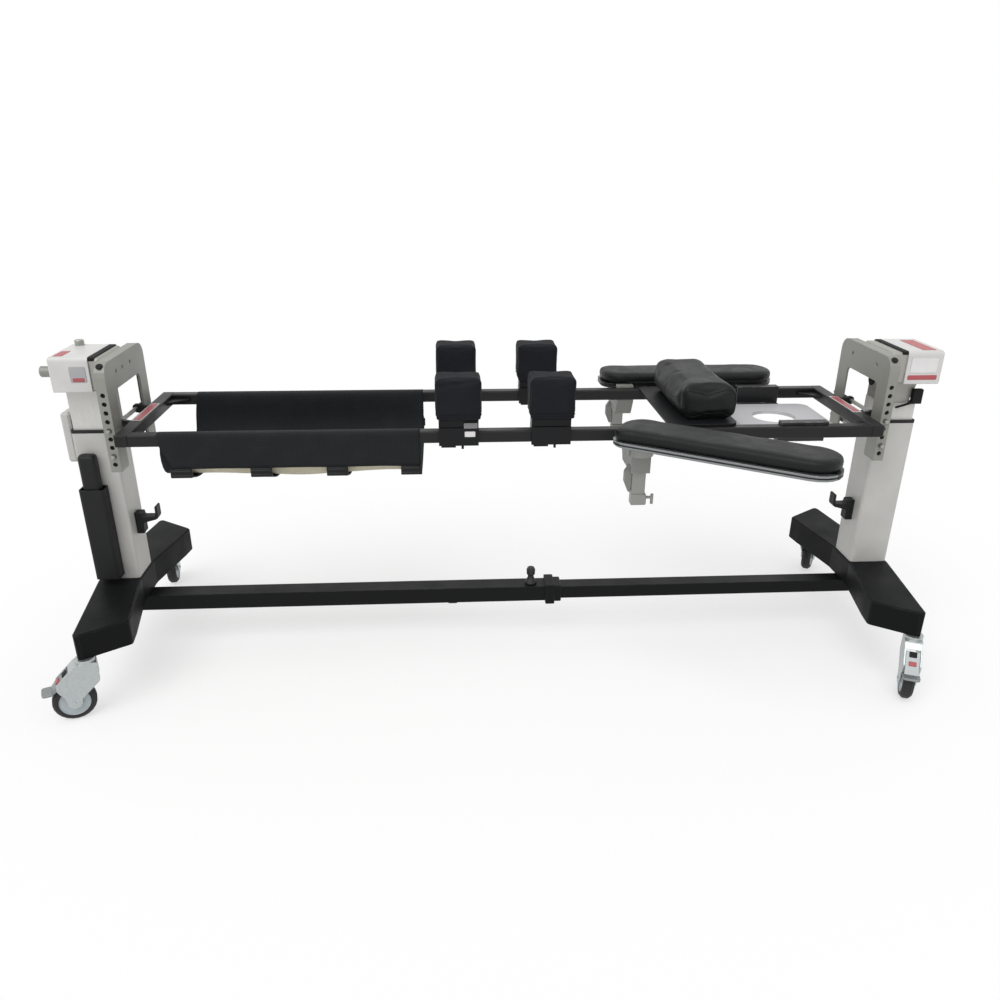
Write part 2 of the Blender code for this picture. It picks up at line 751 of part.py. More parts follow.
def head(side, looks):
    """Head of a column: the block that holds the roll bearing and the lift rod, and its casing."""
    name = end_name(side)
    lift = name + "_lift"
    half = CASING_WIDTH / 2
    inner = half - CASING_WALL - GAP
    moved = RIGHT_CASING_SHIFT if side > 0 else 0.0
    near_end = CASING_IN + moved
    far_end = CASING_OUT + moved
    out = far_end - CASING_WALL - GAP
    top = CASING_TOP - CASING_WALL - GAP
    core = box(side * HEAD_IN, side * out, -inner, inner, CASING_BOTTOM, top, CASING_CORNER / 2)
    block = add(name + "_head_block", core, looks["head"], lift)
    if side > 0:
        x0 = COLUMN_X - BRACKET_LENGTH / 2
        x1 = COLUMN_X + BRACKET_LENGTH / 2
        root = CASING_BOTTOM + CASING_CORNER
        trapezoid = [(x0, BRACKET_BOTTOM), (x1 - BRACKET_TAPER, BRACKET_BOTTOM), (x1, root), (x0, root)]
        join(block, prism(trapezoid, "Y", -BRACKET_WIDTH / 2, BRACKET_WIDTH / 2))
    seat = CASING_BOTTOM if side < 0 else BRACKET_BOTTOM
    join(block, rod((side * COLUMN_X, 0, INNER_BOTTOM), (side * COLUMN_X, 0, seat + OVERCUT), ROD_RADIUS, 14))
    deep = out + OVERCUT if side < 0 else out - OVERCUT
    bore = [(side * along, 0, ROLL_Z) for along in (HEAD_IN - OVERCUT, deep)]
    cut(block, rod(*bore, SHAFT_RADIUS + PIN_FIT, 20))
    x0, x1 = side * near_end, side * far_end
    outline = rectangle(-half, half, CASING_BOTTOM, CASING_TOP, (0, 0, CASING_CORNER, CASING_CORNER), 3)
    casing = add(name + "_head_casing", prism(outline, "X", x0, x1, CASING_WALL), looks["casing"], lift)
    wall = CASING_WALL
    soft = CASING_CORNER / 2
    room = half - wall
    inside = rectangle(-room, room, CASING_BOTTOM - OVERCUT, CASING_TOP - wall, (0, 0, soft, soft), 1)
    cut(casing, prism(inside, "X", side * (near_end - OVERCUT), side * (far_end - wall)))
    if side < 0:
        ends = [(side * (far_end + reach), 0, ROLL_Z) for reach in (-2 * OVERCUT, 2 * OVERCUT)]
        cut(casing, rod(*ends, SHAFT_RADIUS + 5 * PIN_FIT, 20))


def yoke(side, look, pin_look):
    """Bent channel that the frame hangs in, pierced for its pins and carried by the roll shaft."""
    name = end_name(side)
    on = "table_top" if side < 0 else "right_roll"
    span = WINDOW_WIDTH / 2
    window = YOKE_BOTTOM + WINDOW_HEIGHT
    corners = [
        (-YOKE_HALF, YOKE_BOTTOM), (-span, YOKE_BOTTOM), (-span, window), (span, window),
        (span, YOKE_BOTTOM), (YOKE_HALF, YOKE_BOTTOM), (YOKE_HALF, YOKE_TOP), (-YOKE_HALF, YOKE_TOP),
    ]
    rounds = [0, YOKE_SHEET, WINDOW_CORNER, WINDOW_CORNER, YOKE_SHEET, 0, YOKE_CORNER, YOKE_CORNER]
    channel = prism(rounded(corners, rounds, 4), "X", side * YOKE_IN, side * YOKE_OUT)
    made = add(name + "_yoke", channel, look, on)
    rim = YOKE_HALF - YOKE_SHEET
    low = YOKE_BOTTOM - OVERCUT
    pocket = [(-rim, low), (rim, low), (rim, YOKE_TOP - YOKE_SHEET), (-rim, YOKE_TOP - YOKE_SHEET)]
    inner = YOKE_CORNER - YOKE_SHEET
    hollow = rounded(pocket, [0, 0, inner, inner], 4)
    cut(made, prism(hollow, "X", side * (YOKE_IN + YOKE_SHEET), side * (YOKE_OUT + OVERCUT)))
    x = side * PIN_X
    drills = []
    for k in range(PIN_ROWS):
        z = YOKE_BOTTOM + PIN_FIRST + k * PIN_PITCH
        for row in (-1, 1):
            ends = [(x, row * (YOKE_HALF + reach), z) for reach in (-OVERCUT - YOKE_SHEET, OVERCUT)]
            drills.append(rod(*ends, PIN_RADIUS + PIN_FIT, 8))
    for y in LEFT_WEB_HOLES if side < 0 else RIGHT_WEB_HOLES:
        z = ROLL_Z + WEB_HOLE_RISE
        ends = [(side * (YOKE_IN + reach), y, z) for reach in (-OVERCUT, 2 * OVERCUT)]
        drills.append(rod(*ends, WEB_HOLE, 10))
    cut(made, merge(*drills))
    web = YOKE_IN + YOKE_SHEET
    end = CASING_OUT + SHAFT_KNOB if side < 0 else CASING_OUT - CASING_WALL - SHAFT_STOP
    shaft = lathe(
        [
            (0.0, web - SINK), (HUB_RADIUS, web - SINK), (HUB_RADIUS, web + HUB_DEPTH),
            (SHAFT_RADIUS, web + HUB_DEPTH), (SHAFT_RADIUS, end - SHAFT_CHAMFER),
            (SHAFT_RADIUS - SHAFT_CHAMFER, end), (0.0, end),
        ],
        (side, 0, 0), (0, 0, ROLL_Z), 20,
    )
    join(made, shaft)
    for k, which in ((UPPER_PIN, "upper"), (LOWER_PIN, "lower")):
        z = YOKE_BOTTOM + PIN_FIRST + k * PIN_PITCH
        tip = -(YOKE_HALF + PIN_TIP)
        base = YOKE_HALF + GAP
        profile = [
            (0.0, tip), (PIN_RADIUS - PIN_CHAMFER / 2, tip), (PIN_RADIUS, tip + PIN_CHAMFER),
            (PIN_RADIUS, base), (PIN_HEAD_RADIUS, base), (PIN_HEAD_RADIUS, base + PIN_HEAD),
            (0.0, base + PIN_HEAD),
        ]
        add(name + "_" + which + "_pin", lathe(profile, (0, 1, 0), (x, 0, z), 8), pin_look, on, True)


def patient_frame(look):
    """Two hollow rails between two crossbars, with gussets at the corners and lugs for the pins."""
    end = FRAME_END - CROSSBAR_WIDTH - GAP
    for row in (-1, 1):
        y = row * RAIL_Y
        outline = rectangle(y - RAIL_WIDTH / 2, y + RAIL_WIDTH / 2, RAIL_BOTTOM, RAIL_TOP, RAIL_WALL, 1)
        add(row_name(row) + "_rail", pipe(outline, "X", -end, end, RAIL_WALL), look, "table_top")
    pin_z = YOKE_BOTTOM + PIN_FIRST + UPPER_PIN * PIN_PITCH
    for side in (-1, 1):
        name = "foot_crossbar" if side < 0 else "head_crossbar"
        inside = FRAME_END - CROSSBAR_WIDTH
        bar = box(side * inside, side * FRAME_END, -RAIL_OUT, RAIL_OUT, RAIL_BOTTOM, RAIL_TOP, 0.002)
        made = add(name, bar, look, "table_top")
        middle = (RAIL_TOP + RAIL_BOTTOM) / 2
        edge = RAIL_IN - GAP
        for row in (-1, 1):
            corner = [
                (side * (inside + 0.003), row * edge), (side * (inside - GUSSET), row * edge),
                (side * (inside - GUSSET), row * (edge - 0.010)), (side * inside, row * (edge - GUSSET)),
                (side * (inside + 0.003), row * (edge - GUSSET)),
            ]
            join(made, prism(corner, "Z", middle - GUSSET_PLATE / 2, middle + GUSSET_PLATE / 2))
            reach = PIN_X + PIN_RADIUS + 0.006
            ear = rounded(
                [
                    (side * (FRAME_END - 0.004), RAIL_BOTTOM + 0.004), (side * reach, pin_z - 0.012),
                    (side * reach, pin_z + 0.012), (side * (FRAME_END - 0.004), pin_z + 0.003),
                ],
                [0, 0.009, 0.009, 0], 3,
            )
            y = row * LUG_Y
            lug = prism(ear, "Y", y - LUG_PLATE / 2, y + LUG_PLATE / 2)
            join(made, lug)
        span = LUG_Y + LUG_PLATE
        x = side * PIN_X
        cut(made, rod((x, -span, pin_z), (x, span, pin_z), PIN_RADIUS + PIN_FIT, 8))


def ribbon(path, thickness):
    """Give an open path in a section an outline of even thickness."""
    left = []
    right = []
    total = len(path)
    for k, point in enumerate(path):
        here = Vector(point)
        back = (here - Vector(path[k - 1])).normalized() if k else None
        ahead = (Vector(path[k + 1]) - here).normalized() if k < total - 1 else None
        along = (back or ahead) if not (back and ahead) else (back + ahead).normalized()
        across = Vector((-along.y, along.x))
        scale = 1.0 / max(0.5, across.dot(Vector((-(ahead or back).y, (ahead or back).x))))
        left.append(here + across * scale * thickness / 2)
        right.append(here - across * scale * thickness / 2)
    return left, right


def sling_path(sag, hang, off):
    """Section of the sling: down the outside of a rail, over its top, down inside and across the sag."""
    outer = RAIL_OUT + off
    inner = RAIL_IN - off
    top = RAIL_TOP + off
    floor = RAIL_TOP - sag
    half = [
        (outer, RAIL_TOP - hang), (outer, RAIL_TOP - 0.5 * hang), (outer, top - 0.004), (outer - 0.004, top),
        (inner + 0.004, top), (inner, top - 0.004), (inner - 0.001, RAIL_TOP - 0.45 * sag),
        (inner - 0.010, RAIL_TOP - 0.75 * sag), (inner - 0.035, floor + 0.009), (0.45 * inner, floor + 0.001),
    ]
    return [(-y, z) for y, z in half] + [(0.0, floor)] + [(y, z) for y, z in reversed(half)]


def leg_sling(look):
    """Cloth trough slung over both rails for the legs, with straps sewn to its outside."""
    bm = bmesh.new()
    loops = []
    flap = RAIL_OUT + GAP
    for n in range(SLING_STATIONS):
        share = n / (SLING_STATIONS - 1)
        x = SLING_START + share * SLING_LENGTH
        sway = SLING_SWAY * sin(share * 3 * pi)
        sag = SLING_SAG - 2 * SLING_SWAY * (2 * share - 1) ** 2 + sway
        path = sling_path(sag, SLING_HANG, GAP + SLING_CLOTH / 2)
        left, right = ribbon(path, SLING_CLOTH)
        loop = []
        for p in left + right[::-1]:
            drop = max(0.0, RAIL_TOP - p.y) / SLING_HANG if abs(p.x) > flap and n == 0 else 0.0
            loop.append(bm.verts.new((x + drop * SLING_SLANT, p.x, p.y)))
        loops.append(loop)
    for low, high in zip(loops, loops[1:]):
        for k in range(len(low)):
            n = (k + 1) % len(low)
            bm.faces.new((low[k], low[n], high[n], high[k]))
    for cap in (loops[0], loops[-1]):
        total = len(cap)
        for k in range(total // 2 - 1):
            bm.faces.new((cap[k], cap[k + 1], cap[total - 2 - k], cap[total - 1 - k]))
    made = add("leg_sling", bm, look, "table_top")
    face = RAIL_OUT + GAP + SLING_CLOTH
    half = STRAP_WIDTH / 2
    for share in STRAP_SHARES:
        x = SLING_START + share * SLING_LENGTH
        for row in (-1, 1):
            y0 = row * (face - SLING_CLOTH / 3)
            y1 = row * (face + STRAP_CLOTH)
            join(made, box(x - half, x + half, y0, y1, RAIL_TOP - STRAP_DROP, RAIL_TOP - STRAP_CLOTH))


def rail_pad(row, kind, x, looks):
    """Thigh or hip pad on a saddle clamp that slides along a rail."""
    name = row_name(row) + "_" + kind
    y = row * RAIL_Y
    free = RAIL_WIDTH / 2 + SLIDE
    wide = free + CLAMP_PLATE
    under = RAIL_BOTTOM - 0.005
    seat = RAIL_TOP + SLIDE
    top = RAIL_TOP + CLAMP_TOP
    neck = PEDESTAL / 2
    deck = PAD_BOTTOM - GAP
    flare = 0.4 * CLAMP_PLATE
    section = [
        (y - wide, under), (y - free, under), (y - free, seat), (y + free, seat), (y + free, under),
        (y + wide, under), (y + wide, top), (y + neck, top + flare), (y + neck, deck - 2 * flare),
        (y + wide, deck - flare), (y + wide, deck), (y - wide, deck), (y - wide, deck - flare),
        (y - neck, deck - 2 * flare), (y - neck, top + flare), (y - wide, top),
    ]
    half = CLAMP_LENGTH / 2
    clamp = add(name + "_clamp", prism(section, "X", x - half, x + half), looks["clamp"], name + "_pad")
    keep = RAIL_BOTTOM - SLIDE
    start = x - half + KEEPER_IN
    join(clamp, box(start, start + KEEPER_LENGTH, y - wide, y + wide, keep - KEEPER, keep))
    screw_y = y - wide + CLAMP_PLATE / 2
    screw = [(x + CLAMP_TOP, screw_y, under + reach) for reach in (-KEEPER, KEEPER / 2)]
    join(clamp, rod(*screw, CLAMP_PLATE / 2 - SINK / 4, 10))
    deep = PAD_DEPTH / 2
    outline = drawn_in(x - PAD_LENGTH / 2, x + PAD_LENGTH / 2, y - deep, y + deep, PAD_CORNER, PAD_BOW)
    pad = cushion(outline, PAD_BOTTOM, PAD_TOP, PAD_EDGE, PAD_CROWN, PAD_DEPTH)
    add(name + "_pad", pad, looks["vinyl"], name + "_pad", True)


def chest_support(looks):
    """Bolster for the chest on a board that lies across the rails."""
    low = RAIL_TOP + GAP
    half = CHEST_BOARD_LENGTH / 2
    wide = RAIL_OUT - CHEST_BOARD_INSET
    middle = CHEST_X + CHEST_BOARD_SHIFT
    plan = rectangle(middle - half, middle + half, -wide, wide, CHEST_PAD_CORNER / 2, 3)
    board = add("chest_board", prism(plan, "Z", low, low + CHEST_BOARD), looks["board"], "chest_pad")
    for row in (-1, 1):
        y0 = row * (RAIL_IN - SLIDE)
        y1 = row * (RAIL_IN - SLIDE - RUNNER)
        long = half - RUNNER_INSET
        join(board, box(middle - long, middle + long, y0, y1, RAIL_TOP - RUNNER_DROP, low + SINK))
    base = low + CHEST_BOARD + GAP
    reach = CHEST_PAD_LENGTH / 2
    across = RAIL_OUT - CHEST_PAD_INSET
    outline = drawn_in(CHEST_X - reach, CHEST_X + reach, -across, across, CHEST_PAD_CORNER, CHEST_PAD_BOW)
    pad = cushion(outline, base, base + CHEST_PAD_HEIGHT, CHEST_PAD_EDGE, CHEST_PAD_CROWN, CHEST_PAD_LENGTH)
    add("chest_pad", pad, looks["leather"], "chest_pad", True)


def head_support(looks):
    """Head plate with its face opening, hung below the rails by two hooked hangers."""
    top = RAIL_TOP - PLATE_BELOW_RAIL
    half = PLATE_LENGTH / 2
    wide = RAIL_OUT - PLATE_INSET
    plan = rectangle(HEAD_X - half, HEAD_X + half, -wide, wide, 0.030, 4)
    plate = add("head_plate", prism(plan, "Z", top - PLATE, top), looks["plate"], "head_plate")
    face = ring(HEAD_X - FACE_OFFSET, 0, FACE_LENGTH / 2, 24, FACE_WIDTH / 2)
    cut(plate, prism(face, "Z", top - PLATE - OVERCUT, top + OVERCUT))
    shelf = top - PLATE + SINK / 2
    under = shelf - HEAD_CLAMP_PLATE
    tongue = wide - HEAD_CLAMP_SHELF
    lip = RAIL_TOP + HEAD_CLAMP_PLATE
    for row in (-1, 1):
        wall = RAIL_IN - SLIDE
        section = [
            (wall + HEAD_CLAMP_LIP, RAIL_TOP + SLIDE), (wall + HEAD_CLAMP_LIP, lip),
            (wall - HEAD_CLAMP_PLATE, lip), (wall - HEAD_CLAMP_PLATE, shelf),
            (tongue, shelf), (tongue, under), (wall, under), (wall, RAIL_TOP + SLIDE),
        ]
        outline = [(row * y, z) for y, z in section]
        join(plate, prism(outline, "X", HEAD_X - HEAD_CLAMP_LENGTH / 2, HEAD_X + HEAD_CLAMP_LENGTH / 2))


def arm_outline():
    """Plan of an arm board about its pivot: square-shouldered there, round at the hand."""
    half = ARM_WIDTH / 2
    inner = -half
    outer = ARM_LENGTH - half
    corners = [(inner, -half), (outer, -half), (outer, half), (inner, half)]
    tip = half - SINK
    plain = rounded(corners, [ARM_CORNER, tip, tip, ARM_CORNER], 5)
    full = []
    for k, point in enumerate(plain):
        full.append(point)
        after = plain[(k + 1) % len(plain)]
        if abs(after[0] - point[0]) > ARM_WIDTH:
            for share in (0.25, 0.5, 0.75):
                full.append(tuple(Vector(point).lerp(Vector(after), share)))
    return full


def arm_clamp(name, row, x, look):
    """Jaw over a rail with the sleeve that the post slides in and a fin under it."""
    face = RAIL_OUT + GAP
    back = face + JAW_PLATE
    reach = ARM_Y + POST_DEPTH / 2 + SLEEVE_WALL
    top = RAIL_TOP + GAP
    low = RAIL_BOTTOM - GAP
    section = [
        (face - JAW_LIP, top), (face - JAW_LIP, top + JAW_PLATE), (back, top + JAW_PLATE),
        (back, SLEEVE_TOP), (reach, SLEEVE_TOP), (reach, SLEEVE_BOTTOM), (face, SLEEVE_BOTTOM),
        (face - JAW_KEEPER, low - JAW_PLATE), (face - JAW_KEEPER, low), (face, low), (face, top),
    ]
    half = JAW_LENGTH / 2
    outline = [(row * a, b) for a, b in section]
    jaw = add(name + "_clamp", prism(outline, "X", x - half, x + half), look, "table_top")
    y = row * ARM_Y
    px = POST_LENGTH / 2 + SLIDE
    py = POST_DEPTH / 2 + SLIDE
    free = x - px - SINK / 2
    wall = x - half + SINK
    edge = x - half - FIN_REACH
    foot = SLEEVE_BOTTOM - FIN_DROP
    fin = [
        (wall, SLEEVE_TOP - SLEEVE_HEIGHT / 2), (edge, SLEEVE_BOTTOM), (edge, SLEEVE_BOTTOM - FIN_DROP / 2),
        (free - FIN_REACH / 2, foot), (free, foot), (free, SLEEVE_BOTTOM + SINK), (wall, SLEEVE_BOTTOM + SINK),
    ]
    curve = rounded(fin, [0, FIN_REACH / 2, FIN_REACH, 0, 0, 0, 0], 3)
    join(jaw, prism(curve, "Y", y - FIN_PLATE / 2, y + FIN_PLATE / 2))
    cut(jaw, box(x - px, x + px, y - py, y + py, SLEEVE_BOTTOM - OVERCUT, SLEEVE_TOP + OVERCUT))


def arm_post(name, row, x, look):
    """Flat post with a turntable for the board on top and a locking lever at its foot."""
    y = row * ARM_Y
    px = POST_LENGTH / 2
    py = POST_DEPTH / 2
    bar = prism(rectangle(x - px, x + px, y - py, y + py, PIN_CHAMFER, 1), "Z", POST_BOTTOM, SLEEVE_TOP + SINK)
    post = add(name + "_post", bar, look, name + "_post")
    join(post, rod((x, y, SLEEVE_TOP + GAP), (x, y, ARM_BOARD_Z - GAP), POST_DISC, 20))
    lip = POST_FOOT_LIP
    wide = px + lip
    deep = py + lip
    top = POST_BOTTOM + POST_FOOT
    join(post, box(x - px, x + wide, y - deep, y + deep, POST_BOTTOM - lip, top, lip / 2))
    z = POST_BOTTOM + POST_FOOT / 2
    tip = x + px + lip + POST_LEVER
    join(post, rod((x + px, y, z), (tip, y, z), POST_LEVER_RADIUS, 10))
    join(post, rod((tip, y, z - POST_LEVER), (tip, y, z + POST_LEVER / 2), POST_LEVER_RADIUS, 10))


def arm_supports(looks):
    """Two padded arm boards on posts that stand in clamps on the rails."""
    for row, x, swing in ((-1, NEAR_ARM_X, NEAR_ARM_SWING), (1, FAR_ARM_X, FAR_ARM_SWING)):
        name = row_name(row) + "_arm"
        arm_clamp(name, row, x, looks["zinc"])
        arm_post(name, row, x, looks["steel"])
        plan = arm_outline()
        pivot = (x, row * ARM_Y, 0)
        low = ARM_BOARD_Z
        rise = ARM_BOARD
        groove = ARM_GROOVE
        levels = [
            (low, groove), (low + groove, 0.0), (low + 0.38 * rise, 0.0), (low + 0.45 * rise, groove),
            (low + 0.60 * rise, groove), (low + 0.67 * rise, 0.0), (low + rise, 0.0),
        ]
        add(name + "_board", turned(stack(plan, levels), swing, pivot), looks["alloy"], name + "_board", True)
        pad = cushion(plan, ARM_PAD_Z, ARM_PAD_Z + ARM_PAD, ARM_PAD_EDGE, ARM_PAD_CROWN, ARM_WIDTH)
        add(name + "_pad", turned(pad, swing, pivot), looks["leather"], name + "_board", True)


def fork_cheek():
    """Side of a fork: crown, hooded back and the eye round the axle."""
    crown = CROWN_BOTTOM + CROWN
    eye = FORK_EYE
    axle = CASTER_TRAIL
    hood = CASTER_TRAIL + HOOD_REACH
    points = [
        (-FORK_FRONT, crown), (-FORK_FRONT, 2 * WHEEL_RADIUS), (axle - eye, AXLE_Z + 0.5 * eye),
        (axle - 0.8 * eye, AXLE_Z - 0.8 * eye), (axle + 0.8 * eye, AXLE_Z - 0.8 * eye),
        (axle + eye, AXLE_Z + eye), (hood, 2 * WHEEL_RADIUS + HOOD_BOTTOM),
        (hood, 2 * WHEEL_RADIUS + HOOD_TOP), (FORK_FRONT, crown),
    ]
    rounds = [0.3 * eye, 0.8 * eye, 0.5 * eye, 0.8 * eye, 0.8 * eye, 0.6 * eye, 0.3 * eye, 0.4 * eye, 0.5 * eye]
    return rounded(points, rounds, 2)


def wheel_profile():
    """Half section of a wheel: boss, dished disc and a rounded tyre."""
    edge = WHEEL_WIDTH / 2
    dish = 0.3 * edge
    tread = WHEEL_RADIUS
    half = [
        (AXLE_RADIUS + PIN_FIT, edge), (HUB_BOSS, edge), (HUB_BOSS + dish / 2, edge - dish),
        (tread - TYRE_DEPTH - dish / 2, edge - dish), (tread - TYRE_DEPTH, edge - FORK_SIDE),
        (tread - 0.45 * TYRE_DEPTH, edge - FORK_SIDE), (tread, 0.45 * edge),
    ]
    return half + [(r, -w) for r, w in reversed(half)]


def brake_pedal(name, trail, pivot, look):
    """Pedal that rocks on a pin in the hood, with a shoe that it brings down on the tyre."""
    inner = SLOT_HALF - SLIDE
    low = -PEDAL_DROP
    blade = PEDAL_BLADE / 2
    start = HOOD_REACH - PEDAL_PIVOT_OUT + OVERCUT
    end = PEDAL_REACH - PEDAL_PIVOT_OUT
    rise = CROWN_BOTTOM - AXLE_Z - PEDAL_PIVOT_UP - SHOE_RADIUS
    plate = 0.8 * SHOE_RADIUS
    arm = [
        (-0.85 * rise, rise - plate), (plate - 0.85 * rise, rise), (1.6 * plate, 1.6 * plate),
        (start + SHOE_RADIUS, low + blade), (start + SHOE_RADIUS, low - blade),
        (start + SINK, low - blade), (-SHOE_RADIUS, -SHOE_RADIUS),
    ]
    lever = prism(rounded(arm, [0, 0, plate, 0, 0, 0, plate], 2), "Y", -inner, inner)
    pedal = add(name + "_brake_pedal", turned(lever, trail, pivot), look, name + "_brake")
    half = PEDAL_WIDTH / 2
    tip = 2 * SHOE_RADIUS
    round_end = rounded([(start, -half), (end, -half), (end, half), (start, half)], [0, tip, tip, 0], 3)
    join(pedal, turned(prism(round_end, "Z", low - blade, low + blade), trail, pivot))
    reach = WHEEL_RADIUS + SHOE_CLEAR + SHOE_RADIUS
    u = reach * sin(SHOE_SLANT) - PEDAL_PIVOT_OUT
    z = reach * cos(SHOE_SLANT) - PEDAL_PIVOT_UP
    wide = inner - SHOE_RADIUS
    join(pedal, turned(rod((u, -wide, z), (u, wide, z), SHOE_RADIUS, 10), trail, pivot))
    span = inner + OVERCUT
    cut(pedal, turned(rod((0, -span, 0), (0, span, 0), PEDAL_PIN + PIN_FIT, 10), trail, pivot))


def caster(name, side, row, trail, brake, looks):
    """Swivel caster: fork with its swivel head and axle, wheel, and a brake pedal where there is one."""
    x = side * CASTER_X
    y = row * CASTER_Y
    body(name + "_swivel", (x, y, FOOT_BOTTOM), "base")
    u = Vector((cos(trail), sin(trail), 0.0))
    hub = Vector((x, y, AXLE_Z)) + u * CASTER_TRAIL
    body(name + "_roll", hub, name + "_swivel")
    spot = (x, y, 0)
    cheeks = prism(fork_cheek(), "Y", -FORK_HALF, FORK_HALF)
    fork = add(name + "_fork", turned(cheeks, trail, spot), looks["zinc"], name + "_swivel")
    far = CASTER_TRAIL + HOOD_REACH + OVERCUT
    slot = box(-FORK_FRONT - OVERCUT, far, -SLOT_HALF, SLOT_HALF, -OVERCUT, CROWN_BOTTOM)
    cut(fork, turned(slot, trail, spot))
    top = CROWN_BOTTOM + CROWN - SINK
    join(fork, turned(rod((0, 0, top), (0, 0, FOOT_BOTTOM - GAP), SWIVEL_RADIUS, 18), trail, spot))
    bolt = FORK_HALF + AXLE_HEAD
    axle = rod((CASTER_TRAIL, -bolt, AXLE_Z), (CASTER_TRAIL, bolt, AXLE_Z), AXLE_RADIUS, 10)
    join(fork, turned(axle, trail, spot))
    wheel = lathe(wheel_profile(), (0, 1, 0), (CASTER_TRAIL, 0, AXLE_Z), 24)
    add(name + "_wheel", turned(wheel, trail, spot), looks["tyre"], name + "_roll", True)
    if not brake:
        return
    out = CASTER_TRAIL + PEDAL_PIVOT_OUT
    up = AXLE_Z + PEDAL_PIVOT_UP
    pivot = Vector((x, y, up)) + u * out
    body(name + "_brake", pivot, name + "_swivel")
    pin = rod((out, -FORK_HALF - SINK / 2, up), (out, FORK_HALF + SINK / 2, up), PEDAL_PIN, 10)
    join(fork, turned(pin, trail, spot))
    brake_pedal(name, trail, pivot, looks["pedal"])


def set_out_bodies():
    """Stand an empty on every joint axis."""
    body("table", (0, 0, 0))
    body("base", (0, 0, 0), "table")
    body("beam_lock", (KNOB_X, 0, BEAM_TOP), "base")
    pocket_y = -(COLUMN_DEPTH + HOLSTER_DEPTH) / 2
    body("hand_pendant", (-(COLUMN_X + HOLSTER_OFF), pocket_y, HOLSTER_BOTTOM), "base")
    for side in (-1, 1):
        body(end_name(side) + "_lift", (side * COLUMN_X, 0, COLUMN_TOP), "base")
    body("table_top", (-YOKE_OUT, 0, ROLL_Z), "left_lift")
    body("right_roll", (YOKE_OUT, 0, ROLL_Z), "right_lift")
    for row in (-1, 1):
        name = row_name(row)
        body(name + "_thigh_pad", (THIGH_X, row * RAIL_Y, RAIL_TOP), "table_top")
        body(name + "_hip_pad", (HIP_X, row * RAIL_Y, RAIL_TOP), "table_top")
        x = NEAR_ARM_X if row < 0 else FAR_ARM_X
        body(name + "_arm_post", (x, row * ARM_Y, SLEEVE_TOP), "table_top")
        body(name + "_arm_board", (x, row * ARM_Y, ARM_BOARD_Z), name + "_arm_post")
    body("chest_pad", (CHEST_X, 0, RAIL_TOP), "table_top")
    body("head_plate", (HEAD_X, 0, RAIL_TOP), "table_top")


def centre_table():
    """Move the whole table so that the floor point under the middle of its bounding box is the origin."""
    bpy.context.view_layer.update()
    graph = bpy.context.evaluated_depsgraph_get()
    xs = []
    ys = []
    zs = []
    for piece in PIECES:
        seen = piece.evaluated_get(graph)
        for vertex in seen.data.vertices:
            spot = seen.matrix_world @ vertex.co
            xs.append(spot.x)
            ys.append(spot.y)
            zs.append(spot.z)
    shift = Vector((-(min(xs) + max(xs)) / 2, -(min(ys) + max(ys)) / 2, -min(zs)))
    BODIES["table"][0].location = shift
    bpy.context.view_layer.update()
    print("shift", [round(value, 5) for value in shift])
    print("size", [round(max(values) - min(values), 4) for values in (xs, ys, zs)])


def main():
    """Build every piece of the table."""
    clear_scene()
    looks = {
        "foot": finish("black_powder_coat", (0.012, 0.012, 0.013), 0.5),
        "tube": finish("black_tube", (0.014, 0.014, 0.015), 0.45),
        "column": finish("column_paint", (0.55, 0.55, 0.53), 0.4),
        "inner": finish("inner_column_alloy", (0.50, 0.50, 0.49), 0.35, 0.9),
        "steel": finish("steel", (0.45, 0.45, 0.45), 0.3, 1.0),
        "zinc": finish("zinc", (0.48, 0.53, 0.57), 0.4, 1.0),
        "head": finish("head_grey", (0.16, 0.16, 0.16), 0.45),
        "casing": finish("casing_white", (0.78, 0.78, 0.77), 0.35),
        "yoke": finish("yoke_grey", (0.28, 0.29, 0.26), 0.45),
        "frame": finish("frame_black", (0.024, 0.022, 0.022), 0.45),
        "clamp": finish("clamp_dark", (0.03, 0.03, 0.03), 0.4),
        "black": finish("black_plastic", (0.015, 0.015, 0.015), 0.5),
        "pendant": finish("pendant_grey", (0.05, 0.05, 0.055), 0.5),
        "vinyl": finish("pad_vinyl", (0.019, 0.020, 0.023), 0.55),
        "cloth": finish("sling_cloth", (0.018, 0.019, 0.021), 0.85),
        "leather": finish("pad_leather", (0.042, 0.045, 0.043), 0.5),
        "board": finish("board_black", (0.02, 0.02, 0.02), 0.4),
        "plate": finish("plate_grey", (0.50, 0.50, 0.52), 0.4),
        "alloy": finish("arm_board_alloy", (0.55, 0.55, 0.55), 0.3, 1.0),
        "tyre": finish("caster_tyre", (0.02, 0.02, 0.02), 0.7),
        "pedal": finish("pedal_grey", (0.35, 0.36, 0.37), 0.5),
    }
    set_out_bodies()
    for side in (-1, 1):
        foot(side, looks["foot"])
        head(side, looks)
        yoke(side, looks["yoke"], looks["steel"])
    beam(looks["tube"], looks["tube"], looks["black"])
    columns(looks)
    column_fittings(looks)
    patient_frame(looks["frame"])
    leg_sling(looks["cloth"])
    for row in (-1, 1):
        rail_pad(row, "thigh", THIGH_X, looks)
        rail_pad(row, "hip", HIP_X, looks)
    chest_support(looks)
    head_support(looks)
    arm_supports(looks)
    caster("front_left", -1, -1, FRONT_LEFT_TRAIL, True, looks)
    caster("front_right", 1, -1, FRONT_RIGHT_TRAIL, True, looks)
    caster("rear_left", -1, 1, REAR_LEFT_TRAIL, False, looks)
    caster("rear_right", 1, 1, REAR_RIGHT_TRAIL, False, looks)
    centre_table()


main()
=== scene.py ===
from functools import partial
from math import cos, exp, pi, radians, sin

import bmesh
import bpy
from bpy.props import FloatProperty, FloatVectorProperty, PointerProperty
from mathutils import Matrix, Vector, noise


